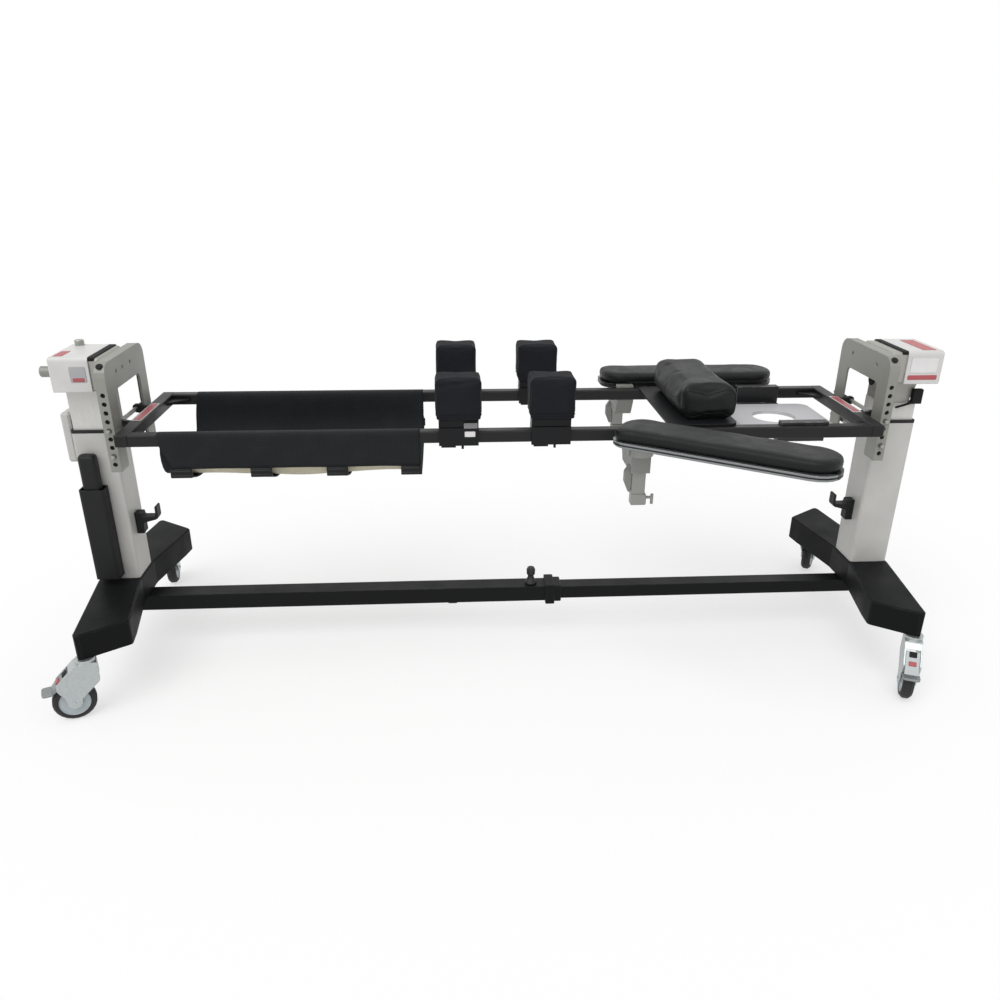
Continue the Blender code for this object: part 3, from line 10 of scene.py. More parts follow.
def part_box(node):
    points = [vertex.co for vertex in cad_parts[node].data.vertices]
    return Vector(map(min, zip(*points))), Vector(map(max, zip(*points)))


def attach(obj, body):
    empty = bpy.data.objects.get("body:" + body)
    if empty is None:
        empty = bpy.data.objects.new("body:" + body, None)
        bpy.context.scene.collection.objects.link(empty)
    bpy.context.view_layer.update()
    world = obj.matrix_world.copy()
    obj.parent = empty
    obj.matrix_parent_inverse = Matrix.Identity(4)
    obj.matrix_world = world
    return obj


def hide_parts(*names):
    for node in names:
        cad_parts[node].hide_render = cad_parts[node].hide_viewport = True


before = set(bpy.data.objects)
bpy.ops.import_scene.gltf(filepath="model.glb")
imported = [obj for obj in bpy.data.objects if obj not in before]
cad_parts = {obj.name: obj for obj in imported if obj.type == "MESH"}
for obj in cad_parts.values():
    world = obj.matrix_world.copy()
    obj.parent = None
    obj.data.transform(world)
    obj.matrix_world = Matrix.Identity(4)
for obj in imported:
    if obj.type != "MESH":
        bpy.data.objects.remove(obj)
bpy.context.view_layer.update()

bl_info = {
    "name": "Spine operating table",
    "version": (1, 0, 0),
    "blender": (4, 5, 0),
    "location": "View3D > Sidebar > Spine table",
    "description": "Dresses a spine operating table: cushions, leg sling, trim, finishes and studio",
    "category": "Object",
}

# Rails: the middle between them, their top, and their outer and inner faces measured from the middle.
MIDDLE_Y = (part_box("near_rail")[0].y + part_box("far_rail")[1].y) / 2
RAIL_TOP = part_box("near_rail")[1].z
RAIL_OUT = MIDDLE_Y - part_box("near_rail")[0].y
RAIL_IN = MIDDLE_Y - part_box("near_rail")[1].y
# Casters: wheel radius, radius where the tyre starts, and the heading of each trail in degrees.
WHEEL_RADIUS = 0.055
TYRE_INSIDE = 0.039
TRAIL = {"front_left": 203.0, "front_right": 247.0, "rear_left": 99.0, "rear_right": 57.0}
# Brake pedal: its slope's normal, then reach, height and half width of the grip and of the dark patch on it,
# which is painted shade for a recess at the top of the hood.
PEDAL_SLOPE = (0.684, 0.730)
PEDAL_GRIP = (0.0305, 0.1214, 0.0065)
PEDAL_SHADE_PATCH = (0.0110, 0.1397, 0.0080)
# Stop block: underside of the beam, place along it, half length, half width and depth.
BEAM_UNDER = 0.1265
STOP_X = -0.1345
STOP_HALF = (0.014, 0.012)
STOP_DEPTH = 0.013
# Wiper on each outer column: how far it stands out, grips down the column and rises above it.
WIPER = (0.0008, 0.0035, 0.005)
# Heads: depth of the rubber boots, height of the roll axis, place of the lock at the right head, and foot and
# heading of the dark rod beside it, which is painted shade under the bracket.
BOOT_DEPTH = 0.016
ROLL_Z = 0.812
LOCK_LOW = Vector((1.184, 0.004, -0.064))
LOCK_HIGH = Vector((1.214, 0.020, -0.022))
SHADE_ROD_FOOT = Vector((1.191, 0.009, -0.0605))
SHADE_ROD_AIM = (-0.958, 0, -0.287)
# Stud on the left casing's lid: its distance from the outer end and from the far side.
STUD_INSET = (0.0275, 0.021)
# Yokes: where the plug sits from the inner face, near side and top.
PLUG_INSET = (0.014, 0.0125, 0.0082)
# Dark strip behind the pin holes, painted shade inside the channel: its reach from the inner face, its foot
# and top, and its thickness.
SHADE_STRIP_REACH = (0.0065, 0.0270)
SHADE_STRIP_RISE = (0.004, 0.222)
SHADE_STRIP_THICK = 0.002
# Crossbars: where the middle of each tag lies along the table.
BAR_TAGS = {"left": -0.9775, "right": 1.0205}
# Leg sling: depth of the trough, drop of the outer flaps, and the straps along the table.
SLING_SAG = 0.144
SLING_HANG = 0.093
STRAPS = (-0.836, -0.630, -0.4325, -0.2375)
# Rail pads: height of the seam above a pad's foot, and how far a clamp stands out from the rail.
PAD_SEAM = 0.014
CLAMP_FACE = 0.0084
# Cushions: how many frames the cloth is blown up for.
FILL_FRAMES = 20
# Arm boards: swing of the near one at rest, and how far a cushion overhangs its board.
NEAR_SWING = radians(-33.0)
ARM_OVERHANG = 0.014
# Arm posts: distance of the axis from the pad's end, and how far the near clamp's knob sticks out.
ARM_AXIS = 0.0655
CLAMP_KNOB = 0.013
# Head plate: half width of the bright plate between its dark hangers.
PLATE_HALF = 0.1305
# Pattern sizes in the finishes.
COAT_PATCH = 0.09
METAL_STAIN = 0.07
BRUSH_LINE = 0.0016
ZINC_FLAKE = 0.004
PEBBLE = 0.004
SCUFF = 0.006


def linear(code):
    """Turn an sRGB hex colour to the linear values that a shader takes."""
    parts = [int(code[k:k + 2], 16) / 255 for k in (1, 3, 5)]
    return tuple(p / 12.92 if p <= 0.04045 else ((p + 0.055) / 1.055) ** 2.4 for p in parts) + (1.0,)


def length(about, size):
    """Describe a length that a user may change."""
    return FloatProperty(name=about, default=size, min=0.0, unit="LENGTH")


def colour(about, code):
    """Describe a colour that a user may change."""
    return FloatVectorProperty(name=about, default=linear(code), size=4, subtype="COLOR", min=0, max=1)


class TableSizes(bpy.types.PropertyGroup):
    """Sizes of the soft pieces and trim."""

    pad_swell: length("How far a rail pad's cover bulges", 0.0018)
    chest_swell: length("How far the chest pad's cover bulges", 0.006)
    arm_swell: length("How far an arm pad's cover bulges", 0.003)
    welt: length("Radius of the piping along a sewn edge", 0.0021)
    sling_cloth: length("Thickness of the sling's cloth", 0.002)
    webbing: length("Thickness of the sling's straps", 0.0026)
    strap_width: length("Width of the sling's straps", 0.050)
    tag: length("Thickness of the blank tags", 0.0006)


class TableColours(bpy.types.PropertyGroup):
    """Colours of the finishes."""

    foot: colour("Black coat on the cast feet", "#111213")
    beam: colour("Black coat on the beam", "#0f1011")
    column: colour("Pale enamel on the columns", "#c6c5c1")
    inner: colour("Aluminium of the inner columns", "#d6d5d1")
    yoke: colour("Grey enamel on the yokes", "#90918a")
    rail: colour("Black coat on the rails", "#161616")
    clamp: colour("Black anodised clamps", "#131416")
    steel: colour("Ground steel of pins and posts", "#a3a49e")
    zinc: colour("Zinc plate on forks and clamps", "#b7bcbc")
    casting: colour("Cast alloy of the heads", "#a8a7a1")
    casing: colour("Pale plastic of the head casings", "#d8d7d5")
    plastic: colour("Moulded holster, hooks and knobs", "#131415")
    pad: colour("Coated cloth on the rail pads", "#222327")
    leather: colour("Leathercloth on chest and arm pads", "#141616")
    sling: colour("Woven cloth of the leg sling", "#1f2123")
    lining: colour("Cream cloth under the sling", "#cfc8b2")
    plate: colour("Satin plate under the face", "#c3c3c6")
    arm: colour("Extruded alloy of the arm boards", "#8f9293")
    tyre: colour("Black rubber of the casters", "#1c1c1d")
    hub: colour("Pale plastic of the wheel discs", "#b7c0c4")
    red: colour("Red of the blank tags and pedal grips", "#b5565a")
    white: colour("White of the blank tags", "#e8e6e6")


# Mix takes its share at socket 0 and two colours at sockets 6 and 7.
# MapRange takes its value at socket 0, the range that it reads at 1 and 2, and what it gives at 3 and 4.
def put(tree, kind, inputs=None, out=None, **settings):
    """Add a node with its settings and links, and return the named output or else the first live one."""
    made = tree.nodes.new("ShaderNode" + kind)
    for field, value in settings.items():
        setattr(made, field, value)
    for socket, value in (inputs or {}).items():
        if isinstance(value, bpy.types.NodeSocket):
            tree.links.new(value, made.inputs[socket])
        else:
            made.inputs[socket].default_value = value
    if out is not None:
        return made.outputs[out]
    return next((socket for socket in made.outputs if socket.enabled), None)


def shade(base, factor):
    """Make a colour darker or paler by a factor."""
    return tuple(min(1.0, c * factor) for c in base[:3]) + (1.0,)


def start(name):
    """Open an empty material and return it, what adds a node to it, and Object coordinates."""
    made = bpy.data.materials.new(name)
    made.use_nodes = True
    made.node_tree.nodes.clear()
    add = partial(put, made.node_tree)
    return made, add, add("TexCoord", out="Object")


def close(add, sockets):
    """Finish a material with one principled shader."""
    add("OutputMaterial", {"Surface": add("BsdfPrincipled", sockets)})


def close_hard(add, body, worn, dull, metal, skin, depth, strength, edge, soft, gloss=0.5):
    """Finish a hard material: its edges rubbed to another colour and softened, a fine skin over all."""
    rubbed = add("Mix", {0: edge, 6: body, 7: worn}, data_type="RGBA")
    bump = add("Bump", {"Height": skin, "Distance": depth, "Strength": strength, "Normal": soft})
    close(add, {
        "Base Color": rubbed, "Roughness": dull, "Metallic": metal, "Normal": bump,
        "Specular IOR Level": gloss,
    })


def worn_edges(add, at, radius, patch):
    """Return a broken mask along a piece's edges and the softened normal of those edges."""
    soft = add("Bevel", {"Radius": radius}, samples=4)
    flat = add("NewGeometry", out="Normal")
    turn = add("VectorMath", {0: flat, 1: soft}, operation="DOT_PRODUCT")
    edge = add("MapRange", {0: turn, 1: 0.90, 2: 0.99, 3: 1.0, 4: 0.0})
    broken = add("TexNoise", {"Vector": at, "Scale": 1 / patch, "Detail": 3.0})
    part = add("MapRange", {0: broken, 1: 0.42, 2: 0.62, 3: 0.1, 4: 1.0})
    return add("Math", {0: edge, 1: part}, operation="MULTIPLY"), soft


def coated(name, base, rough, peel, height, wear, metallic=0.0, gloss=0.5):
    """Sprayed or moulded skin: a fine orange peel, faint patches in the colour and rubbed edges."""
    made, add, at = start(name)
    cloud = add("TexNoise", {"Vector": at, "Scale": 1 / COAT_PATCH, "Detail": 4.0})
    body = add("Mix", {0: cloud, 6: shade(base, 0.86), 7: shade(base, 1.16)}, data_type="RGBA")
    skin = add("TexNoise", {"Vector": at, "Scale": 1 / peel, "Detail": 2.0})
    dull = add("MapRange", {0: cloud, 1: 0.3, 2: 0.7, 3: rough - 0.06, 4: rough + 0.08})
    worn = shade(base, wear)
    close_hard(add, body, worn, dull, metallic, skin, height, 0.6, *worn_edges(add, at, 0.003, 0.03), gloss)
    return made


def tag_vinyl(name, base, wear):
    """Blank tag: a smooth even colour with the faintest skin."""
    return coated(name, base, 0.4, 0.004, 0.0001, wear)


def brushed(name, base, rough, along, metallic=1.0):
    """Metal brushed or drawn one way: fine lines along it in tone, gloss and height."""
    made, add, at = start(name)
    lines = [1 / BRUSH_LINE] * 3
    lines["XYZ".index(along)] = 1 / (60 * BRUSH_LINE)
    drawn = add("Mapping", {"Vector": at, "Scale": tuple(lines)}, vector_type="POINT")
    grain = add("TexNoise", {"Vector": drawn, "Scale": 1.0, "Detail": 3.0})
    cloud = add("TexNoise", {"Vector": at, "Scale": 1 / METAL_STAIN, "Detail": 3.0})
    tone = add("Mix", {0: grain, 6: shade(base, 0.84), 7: shade(base, 1.1)}, data_type="RGBA")
    stain = add("MapRange", {0: cloud, 1: 0.5, 2: 0.8, 3: 0.0, 4: 0.25})
    dirty = add("Mix", {0: stain, 6: tone, 7: shade(base, 0.6)}, data_type="RGBA")
    dull = add("MapRange", {0: grain, 1: 0.3, 2: 0.7, 3: rough - 0.06, 4: rough + 0.10})
    worn = shade(base, 1.25)
    close_hard(add, dirty, worn, dull, metallic, grain, 0.0002, 0.35, *worn_edges(add, at, 0.0015, 0.02))
    return made


def plated(name, base, rough):
    """Zinc plate on pressed steel: small crystal flakes of slightly different tone and gloss."""
    made, add, at = start(name)
    flake = add("TexVoronoi", {"Vector": at, "Scale": 1 / ZINC_FLAKE}, "Color")
    grey = add("SeparateColor", {"Color": flake})
    tone = add("Mix", {0: grey, 6: shade(base, 0.93), 7: shade(base, 1.05)}, data_type="RGBA")
    dull = add("MapRange", {0: grey, 1: 0.0, 2: 1.0, 3: rough - 0.03, 4: rough + 0.05})
    skin = add("TexNoise", {"Vector": at, "Scale": 1 / ZINC_FLAKE, "Detail": 2.0})
    worn = shade(base, 1.3)
    close_hard(add, tone, worn, dull, 0.85, skin, 0.0003, 0.4, *worn_edges(add, at, 0.002, 0.02))
    return made


def leathercloth(name, base):
    """Embossed leathercloth over foam: pebbles drawn at 4 mm so that they show, with soft creases."""
    made, add, at = start(name)
    warp = add("TexNoise", {"Vector": at, "Scale": 1 / 0.02, "Detail": 2.0}, "Color")
    bent = add("Mix", {0: 0.02, 4: at, 5: warp}, data_type="VECTOR")
    pebble = add("TexVoronoi", {"Vector": bent, "Scale": 1 / PEBBLE}, feature="SMOOTH_F1")
    crease = add("TexNoise", {"Vector": at, "Scale": 1 / 0.05, "Detail": 5.0, "Distortion": 1.2})
    tone = add("Mix", {0: pebble, 6: shade(base, 1.12), 7: shade(base, 0.62)}, data_type="RGBA")
    worn = add("MapRange", {0: crease, 1: 0.45, 2: 0.75, 3: 0.0, 4: 0.3})
    rubbed = add("Mix", {0: worn, 6: tone, 7: shade(base, 1.3)}, data_type="RGBA")
    dull = add("MapRange", {0: crease, 1: 0.3, 2: 0.7, 3: 0.42, 4: 0.54})
    fold = add("Bump", {"Height": crease, "Distance": 0.0025, "Strength": 0.35})
    grain = {"Height": pebble, "Distance": 0.0008, "Strength": 0.5, "Normal": fold}
    close(add, {
        "Base Color": rubbed, "Roughness": dull, "Normal": add("Bump", grain, invert=True),
        "Specular IOR Level": 0.23, "Sheen Weight": 0.03, "Sheen Roughness": 0.4,
    })
    return made


def woven(name, base, thread, rough, source="Object", contrast=0.35, gloss=0.2):
    """Plain weave: two sets of threads at right angles, drawn coarse enough to show."""
    made, add, at = start(name)
    across = "Z"
    if source == "UV":
        at = add("TexCoord", out="UV")
        across = "Y"
    else:
        at = add("Mapping", {"Vector": at, "Rotation": (pi / 4, 0, pi / 4)}, vector_type="POINT")
    threads = {"Vector": at, "Scale": 0.314 / thread, "Distortion": 0.6, "Detail": 1.0}
    warp = add("TexWave", threads, "Fac", bands_direction="X")
    weft = add("TexWave", threads, "Fac", bands_direction=across)
    cross = add("Math", {0: warp, 1: weft}, operation="MULTIPLY")
    cloud = add("TexNoise", {"Vector": at, "Scale": 1 / 0.06, "Detail": 4.0})
    light = shade(base, 1 + contrast)
    tone = add("Mix", {0: cross, 6: shade(base, 1 - contrast), 7: light}, data_type="RGBA")
    dust = add("MapRange", {0: cloud, 1: 0.45, 2: 0.75, 3: 0.0, 4: 0.35})
    faded = add("Mix", {0: dust, 6: tone, 7: shade(base, 1.5)}, data_type="RGBA")
    fold = add("Bump", {"Height": cloud, "Distance": 0.004, "Strength": 0.3})
    bump = add("Bump", {"Height": cross, "Distance": 0.0008, "Strength": 0.5, "Normal": fold})
    close(add, {
        "Base Color": faded, "Roughness": rough, "Normal": bump,
        "Specular IOR Level": gloss, "Sheen Weight": 0.02, "Sheen Roughness": 0.5,
    })
    return made


def turned_about(add, at, centre, angle):
    """Return coordinates measured from a centre, along and across a heading."""
    moved = add("VectorMath", {0: at, 1: tuple(centre)}, operation="SUBTRACT")
    return add("Mapping", {"Vector": moved, "Rotation": (0, 0, -angle)}, vector_type="POINT")


def wheel_finish(name, axle, trail, tyre, hub):
    """Caster wheel: pale moulded disc inside, black rubber with a scuffed tread outside."""
    made, add, at = start(name)
    spun = turned_about(add, at, axle, trail)
    flat = add("VectorMath", {0: spun, 1: (1, 0, 1)}, operation="MULTIPLY")
    reach = add("VectorMath", {0: flat}, operation="LENGTH")
    rubber = add("MapRange", {0: reach, 1: TYRE_INSIDE - 0.0004, 2: TYRE_INSIDE + 0.0004})
    scuff = add("TexNoise", {"Vector": at, "Scale": 1 / SCUFF, "Detail": 5.0})
    black = add("Mix", {0: scuff, 6: shade(tyre, 0.7), 7: shade(tyre, 1.6)}, data_type="RGBA")
    pale = add("Mix", {0: scuff, 6: shade(hub, 0.86), 7: shade(hub, 1.1)}, data_type="RGBA")
    body = add("Mix", {0: rubber, 6: pale, 7: black}, data_type="RGBA")
    dull = add("MapRange", {0: rubber, 3: 0.4, 4: 0.7})
    bump = add("Bump", {"Height": scuff, "Distance": 0.0004, "Strength": 0.4})
    close(add, {"Base Color": body, "Roughness": dull, "Normal": bump})
    return made


def board_finish(name, silver, dark, swing, pivot, outer, low, high):
    """Arm board: drawn silver rail along its outer side with a dark band painted along its middle as the
    shade in its groove, black tray elsewhere.
    """
    made, add, at = start(name)
    edge, soft = worn_edges(add, at, 0.0012, 0.02)
    spun = turned_about(add, at, pivot, swing)
    part = add("SeparateXYZ", {0: spun}).node.outputs
    side = add("Math", {0: part[1], 1: outer}, operation="MULTIPLY")
    rail = add("Math", {0: side, 1: 0.030}, operation="GREATER_THAN")
    # The middle band of the rail takes the tray's black: painted shade for the groove.
    rise = add("MapRange", {0: part[2], 1: low, 2: high})
    from_middle = add("Math", {0: rise, 1: 0.5}, operation="SUBTRACT")
    away = add("Math", {0: from_middle}, operation="ABSOLUTE")
    clear = add("MapRange", {0: away, 1: 0.10, 2: 0.14})
    shown = add("Math", {0: rail, 1: clear}, operation="MULTIPLY")
    drawn = add("Mapping", {"Vector": spun, "Scale": (9, 600, 600)}, vector_type="POINT")
    grain = add("TexNoise", {"Vector": drawn, "Scale": 1.0, "Detail": 3.0})
    bare = add("Mix", {0: grain, 6: shade(silver, 0.82), 7: shade(silver, 1.1)}, data_type="RGBA")
    black = add("Mix", {0: grain, 6: shade(dark, 0.8), 7: shade(dark, 1.3)}, data_type="RGBA")
    body = add("Mix", {0: shown, 6: black, 7: bare}, data_type="RGBA")
    rubbed = add("Math", {0: edge, 1: 0.5}, operation="MULTIPLY")
    metal = add("Math", {0: shown, 1: 0.8}, operation="MULTIPLY")
    dull = add("MapRange", {0: grain, 1: 0.3, 2: 0.7, 3: 0.26, 4: 0.42})
    close_hard(add, body, silver, dull, metal, grain, 0.0002, 0.3, rubbed, soft)
    return made


def two_tone(name, axis, low, high, inside, outside, rough, metallic):
    """One node in two finishes, split where a coordinate lies between two limits."""
    made, add, at = start(name)
    place = add("SeparateXYZ", {0: at}, axis)
    over = add("Math", {0: place, 1: low}, operation="GREATER_THAN")
    under = add("Math", {0: place, 1: high}, operation="LESS_THAN")
    within = add("Math", {0: over, 1: under}, operation="MULTIPLY")
    grain = add("TexNoise", {"Vector": at, "Scale": 1 / 0.003, "Detail": 3.0})
    first = add("Mix", {0: grain, 6: shade(inside, 0.9), 7: shade(inside, 1.1)}, data_type="RGBA")
    other = add("Mix", {0: grain, 6: shade(outside, 0.85), 7: shade(outside, 1.15)}, data_type="RGBA")
    body = add("Mix", {0: within, 6: other, 7: first}, data_type="RGBA")
    dull = add("MapRange", {0: grain, 1: 0.3, 2: 0.7, 3: rough - 0.05, 4: rough + 0.1})
    metal = add("Math", {0: within, 1: metallic}, operation="MULTIPLY")
    worn = shade(inside, 1.2)
    close_hard(add, body, worn, dull, metal, grain, 0.0002, 0.3, *worn_edges(add, at, 0.0015, 0.02))
    return made


def dress(material, *names):
    """Give CAD nodes a finish."""
    for name in names:
        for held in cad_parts[name].material_slots:
            held.material = material


def linked(name, bm):
    """Make an object of a bmesh and put it in the scene."""
    mesh = bpy.data.meshes.new(name)
    bm.to_mesh(mesh)
    bm.free()
    made = bpy.data.objects.new(name, mesh)
    bpy.context.scene.collection.objects.link(made)
    return made


def piece(name, bm, material, body, smooth=False):
    """Make a piece of a bmesh and let it ride on a body."""
    made = linked(name, bm)
    for face in made.data.polygons:
        face.use_smooth = smooth
    made.data.materials.append(material)
    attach(made, body)
    return made


def finer(made):
    """Smooth a piece with a subdivision surface."""
    soft = made.modifiers.new("soft", "SUBSURF")
    soft.levels = 1
    soft.render_levels = 1


def cushion(name, bm, material, body, node):
    """Make a padded piece that stands for a plainer node."""
    made = piece(name, bm, material, body, True)
    finer(made)
    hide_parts(node)


def block(low, high):
    """Start a bmesh from a box between two corners."""
    bm = bmesh.new()
    bmesh.ops.create_cube(bm, size=1.0)
    bmesh.ops.scale(bm, vec=Vector(high) - Vector(low), verts=bm.verts)
    bmesh.ops.translate(bm, vec=(Vector(low) + Vector(high)) / 2, verts=bm.verts)
    return bm


def edges_along(bm, axis, test=None):
    """Edges of a bmesh that run along an axis, and whose middle passes a test."""
    found = []
    for edge in bm.edges:
        run = (edge.verts[1].co - edge.verts[0].co).normalized()
        middle = (edge.verts[1].co + edge.verts[0].co) / 2
        if abs(run[axis]) > 0.99 and (test is None or test(middle)):
            found.append(edge)
    return found


def round_off(bm, edges, radius, steps):
    """Round edges with a bevel."""
    bmesh.ops.bevel(bm, geom=edges, offset=radius, offset_type="OFFSET", segments=steps, profile=0.5,
                    affect="EDGES", material=-1, clamp_overlap=True)
    bmesh.ops.recalc_face_normals(bm, faces=bm.faces)


def rims(bm, level):
    """Edges that lie in one horizontal plane round the outside of a shape."""
    return [e for e in bm.edges if all(abs(v.co.z - level) < 1e-5 for v in e.verts) and not e.is_boundary
            and any(abs(f.normal.z) < 0.5 for f in e.link_faces)]


def slab(low, high, corner, edge):
    """Small plate with rounded corners and a softened rim."""
    bm = block(low, high)
    round_off(bm, edges_along(bm, 2), corner, 4)
    round_off(bm, rims(bm, high[2]), edge, 2)
    return bm


def turned_shape(profile, steps=28):
    """Spin a half profile of radius and height about the upright axis."""
    bm = bmesh.new()
    verts = [bm.verts.new((r, 0, h)) for r, h in profile]
    edges = [bm.edges.new(pair) for pair in zip(verts, verts[1:])]
    bmesh.ops.spin(bm, geom=verts + edges, cent=(0, 0, 0), axis=(0, 0, 1), dvec=(0, 0, 0),
                   angle=2 * pi, steps=steps, use_merge=True)
    bmesh.ops.remove_doubles(bm, verts=bm.verts, dist=1e-6)
    bmesh.ops.recalc_face_normals(bm, faces=bm.faces)
    return bm


def stand(bm, point, normal):
    """Set a shape that was made standing on the floor against a surface with this normal."""
    turn = Vector(normal).to_track_quat("Z", "Y").to_matrix().to_4x4()
    bm.transform(Matrix.Translation(point) @ turn)
    return bm


def stand_front(bm, point):
    """Stand a plate up so that it faces the near side, its lower edge at a point."""
    bm.transform(Matrix.Translation(point) @ Matrix.Rotation(radians(90), 4, "X"))
    return bm


def seen_by_eye(add):
    """Mask of the rays that see a surface straight, in a mirror or through glass."""
    path = add("LightPath").node.outputs
    seen = path["Is Camera Ray"]
    for ray in ("Is Glossy Ray", "Is Transmission Ray"):
        seen = add("Math", {0: seen, 1: path[ray]}, operation="MAXIMUM")
    return seen


def shape_now(made):
    """Mesh of an object with its modifiers carried out."""
    return made.evaluated_get(bpy.context.evaluated_depsgraph_get())


def stuffed(bm, voxel, swell, floor, relax=3):
    """Fill a plain form: even out its mesh, blow it up as cloth, and cap how far a point moves."""
    scene = bpy.context.scene
    made = linked("form", bm)
    even = made.modifiers.new("even", "REMESH")
    even.mode = "VOXEL"
    even.voxel_size = voxel
    bpy.context.view_layer.update()
    fine = bpy.data.meshes.new_from_object(shape_now(made))
    made.modifiers.clear()
    made.data = fine
    fill = made.modifiers.new("fill", "CLOTH")
    fill.settings.use_pressure = True
    fill.settings.uniform_pressure_force = 4.0
    fill.settings.effector_weights.gravity = 0.0
    fill.settings.quality = 4
    fill.point_cache.frame_start = 1
    fill.point_cache.frame_end = FILL_FRAMES
    for step in range(1, FILL_FRAMES + 1):
        scene.frame_set(step)
    moved = [Vector(v.co) for v in shape_now(made).data.vertices]
    made.modifiers.clear()
    for vert, goal in zip(fine.vertices, moved):
        step = goal - vert.co
        vert.co += step * min(1.0, swell / max(step.length, 1e-9))
    scene.frame_set(1)
    bpy.data.objects.remove(made)
    shaped = bmesh.new()
    shaped.from_mesh(fine)
    for _ in range(relax):
        bmesh.ops.smooth_vert(shaped, verts=shaped.verts, factor=0.5,
                              use_axis_x=True, use_axis_y=True, use_axis_z=True)
    for vert in shaped.verts:
        vert.co.z = max(vert.co.z, floor)
    shaped.normal_update()
    return shaped


def sew(bm, axis, at, depth, width):
    """Draw a cover in along a line of stitching."""
    bm.normal_update()
    for vert in bm.verts:
        gap = (vert.co[axis] - at) / width
        vert.co -= vert.normal * depth * exp(-gap * gap)


def crease(bm, start_point, end_point, depth, width):
    """Press a fold into a cover along a line between two points."""
    bm.normal_update()
    run = Vector(end_point) - Vector(start_point)
    for vert in bm.verts:
        share = (vert.co - Vector(start_point)).dot(run) / run.length_squared
        share = min(1.0, max(0.0, share))
        gap = (vert.co - Vector(start_point) - run * share).length / width
        vert.co -= vert.normal * depth * exp(-gap * gap)


def ripple(bm, size, height, seed):
    """Give a cover the slow unevenness of cloth over foam."""
    bm.normal_update()
    for vert in bm.verts:
        spot = vert.co / size + Vector((seed, 2 * seed, 3 * seed))
        vert.co += vert.normal * height * noise.noise(spot)


def welt(bm, axis, at, radius):
    """Run piping round a form where a plane across one axis cuts it, and add it to the form."""
    copy = bm.copy()
    normal = Vector((0, 0, 0))
    normal[axis] = 1
    whole = copy.verts[:] + copy.edges[:] + copy.faces[:]
    bmesh.ops.bisect_plane(copy, geom=whole, dist=1e-6, plane_co=normal * at, plane_no=normal,
                           clear_inner=True, clear_outer=True)
    made = linked("welt", copy)
    for other in bpy.context.selected_objects:
        other.select_set(False)
    made.select_set(True)
    bpy.context.view_layer.objects.active = made
    bpy.ops.object.convert(target="CURVE")
    made = bpy.context.view_layer.objects.active
    made.data.bevel_depth = radius
    made.data.bevel_resolution = 1
    bpy.ops.object.convert(target="MESH")
    made = bpy.context.view_layer.objects.active
    bm.from_mesh(made.data)
    bpy.data.objects.remove(made)


def node_box(name):
    """Lowest and highest corner of a node."""
    low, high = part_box(name)
    return Vector(low), Vector(high)


class Step:
    """What the building steps share: each gets the colours and sizes that the user set."""

    def execute(self, context):
        self.build(context.scene.spine_table_colours, context.scene.spine_table_sizes)
        return {"FINISHED"}


class SPINE_TABLE_OT_base(Step, bpy.types.Operator):
    """Finish the feet, the telescoping beam and its lock knob"""

    bl_idname = "spine_table.base"
    bl_label = "Feet and beam"

    def build(self, c, s):
        # Textured powder coat on cast alloy: dull, with a coarse skin and grey rubbed edges.
        foot = coated("powder_coated_casting", c.foot, 0.5, 0.004, 0.0005, 8.0, gloss=0.10)
        dress(foot, "left_foot", "right_foot")
        # Smooth powder coat on steel tube: a little glossier than the feet.
        tube = coated("powder_coated_tube", c.beam, 0.42, 0.006, 0.0003, 8.0, gloss=0.14)
        dress(tube, "beam_outer_tube", "beam_inner_tube")
        # Moulded nylon: dull black with a fine tooth.
        nylon = coated("moulded_nylon_knob", c.plastic, 0.55, 0.003, 0.0004, 3.0)
        dress(nylon, "beam_lock_knob")
        under = BEAM_UNDER - STOP_DEPTH
        bm = block((STOP_X - STOP_HALF[0], MIDDLE_Y - STOP_HALF[1], under),
                   (STOP_X + STOP_HALF[0], MIDDLE_Y + STOP_HALF[1], BEAM_UNDER))
        round_off(bm, edges_along(bm, 2), 0.003, 3)
        round_off(bm, rims(bm, under), 0.002, 2)
        piece("beam_stop_block", bm, nylon, "base")


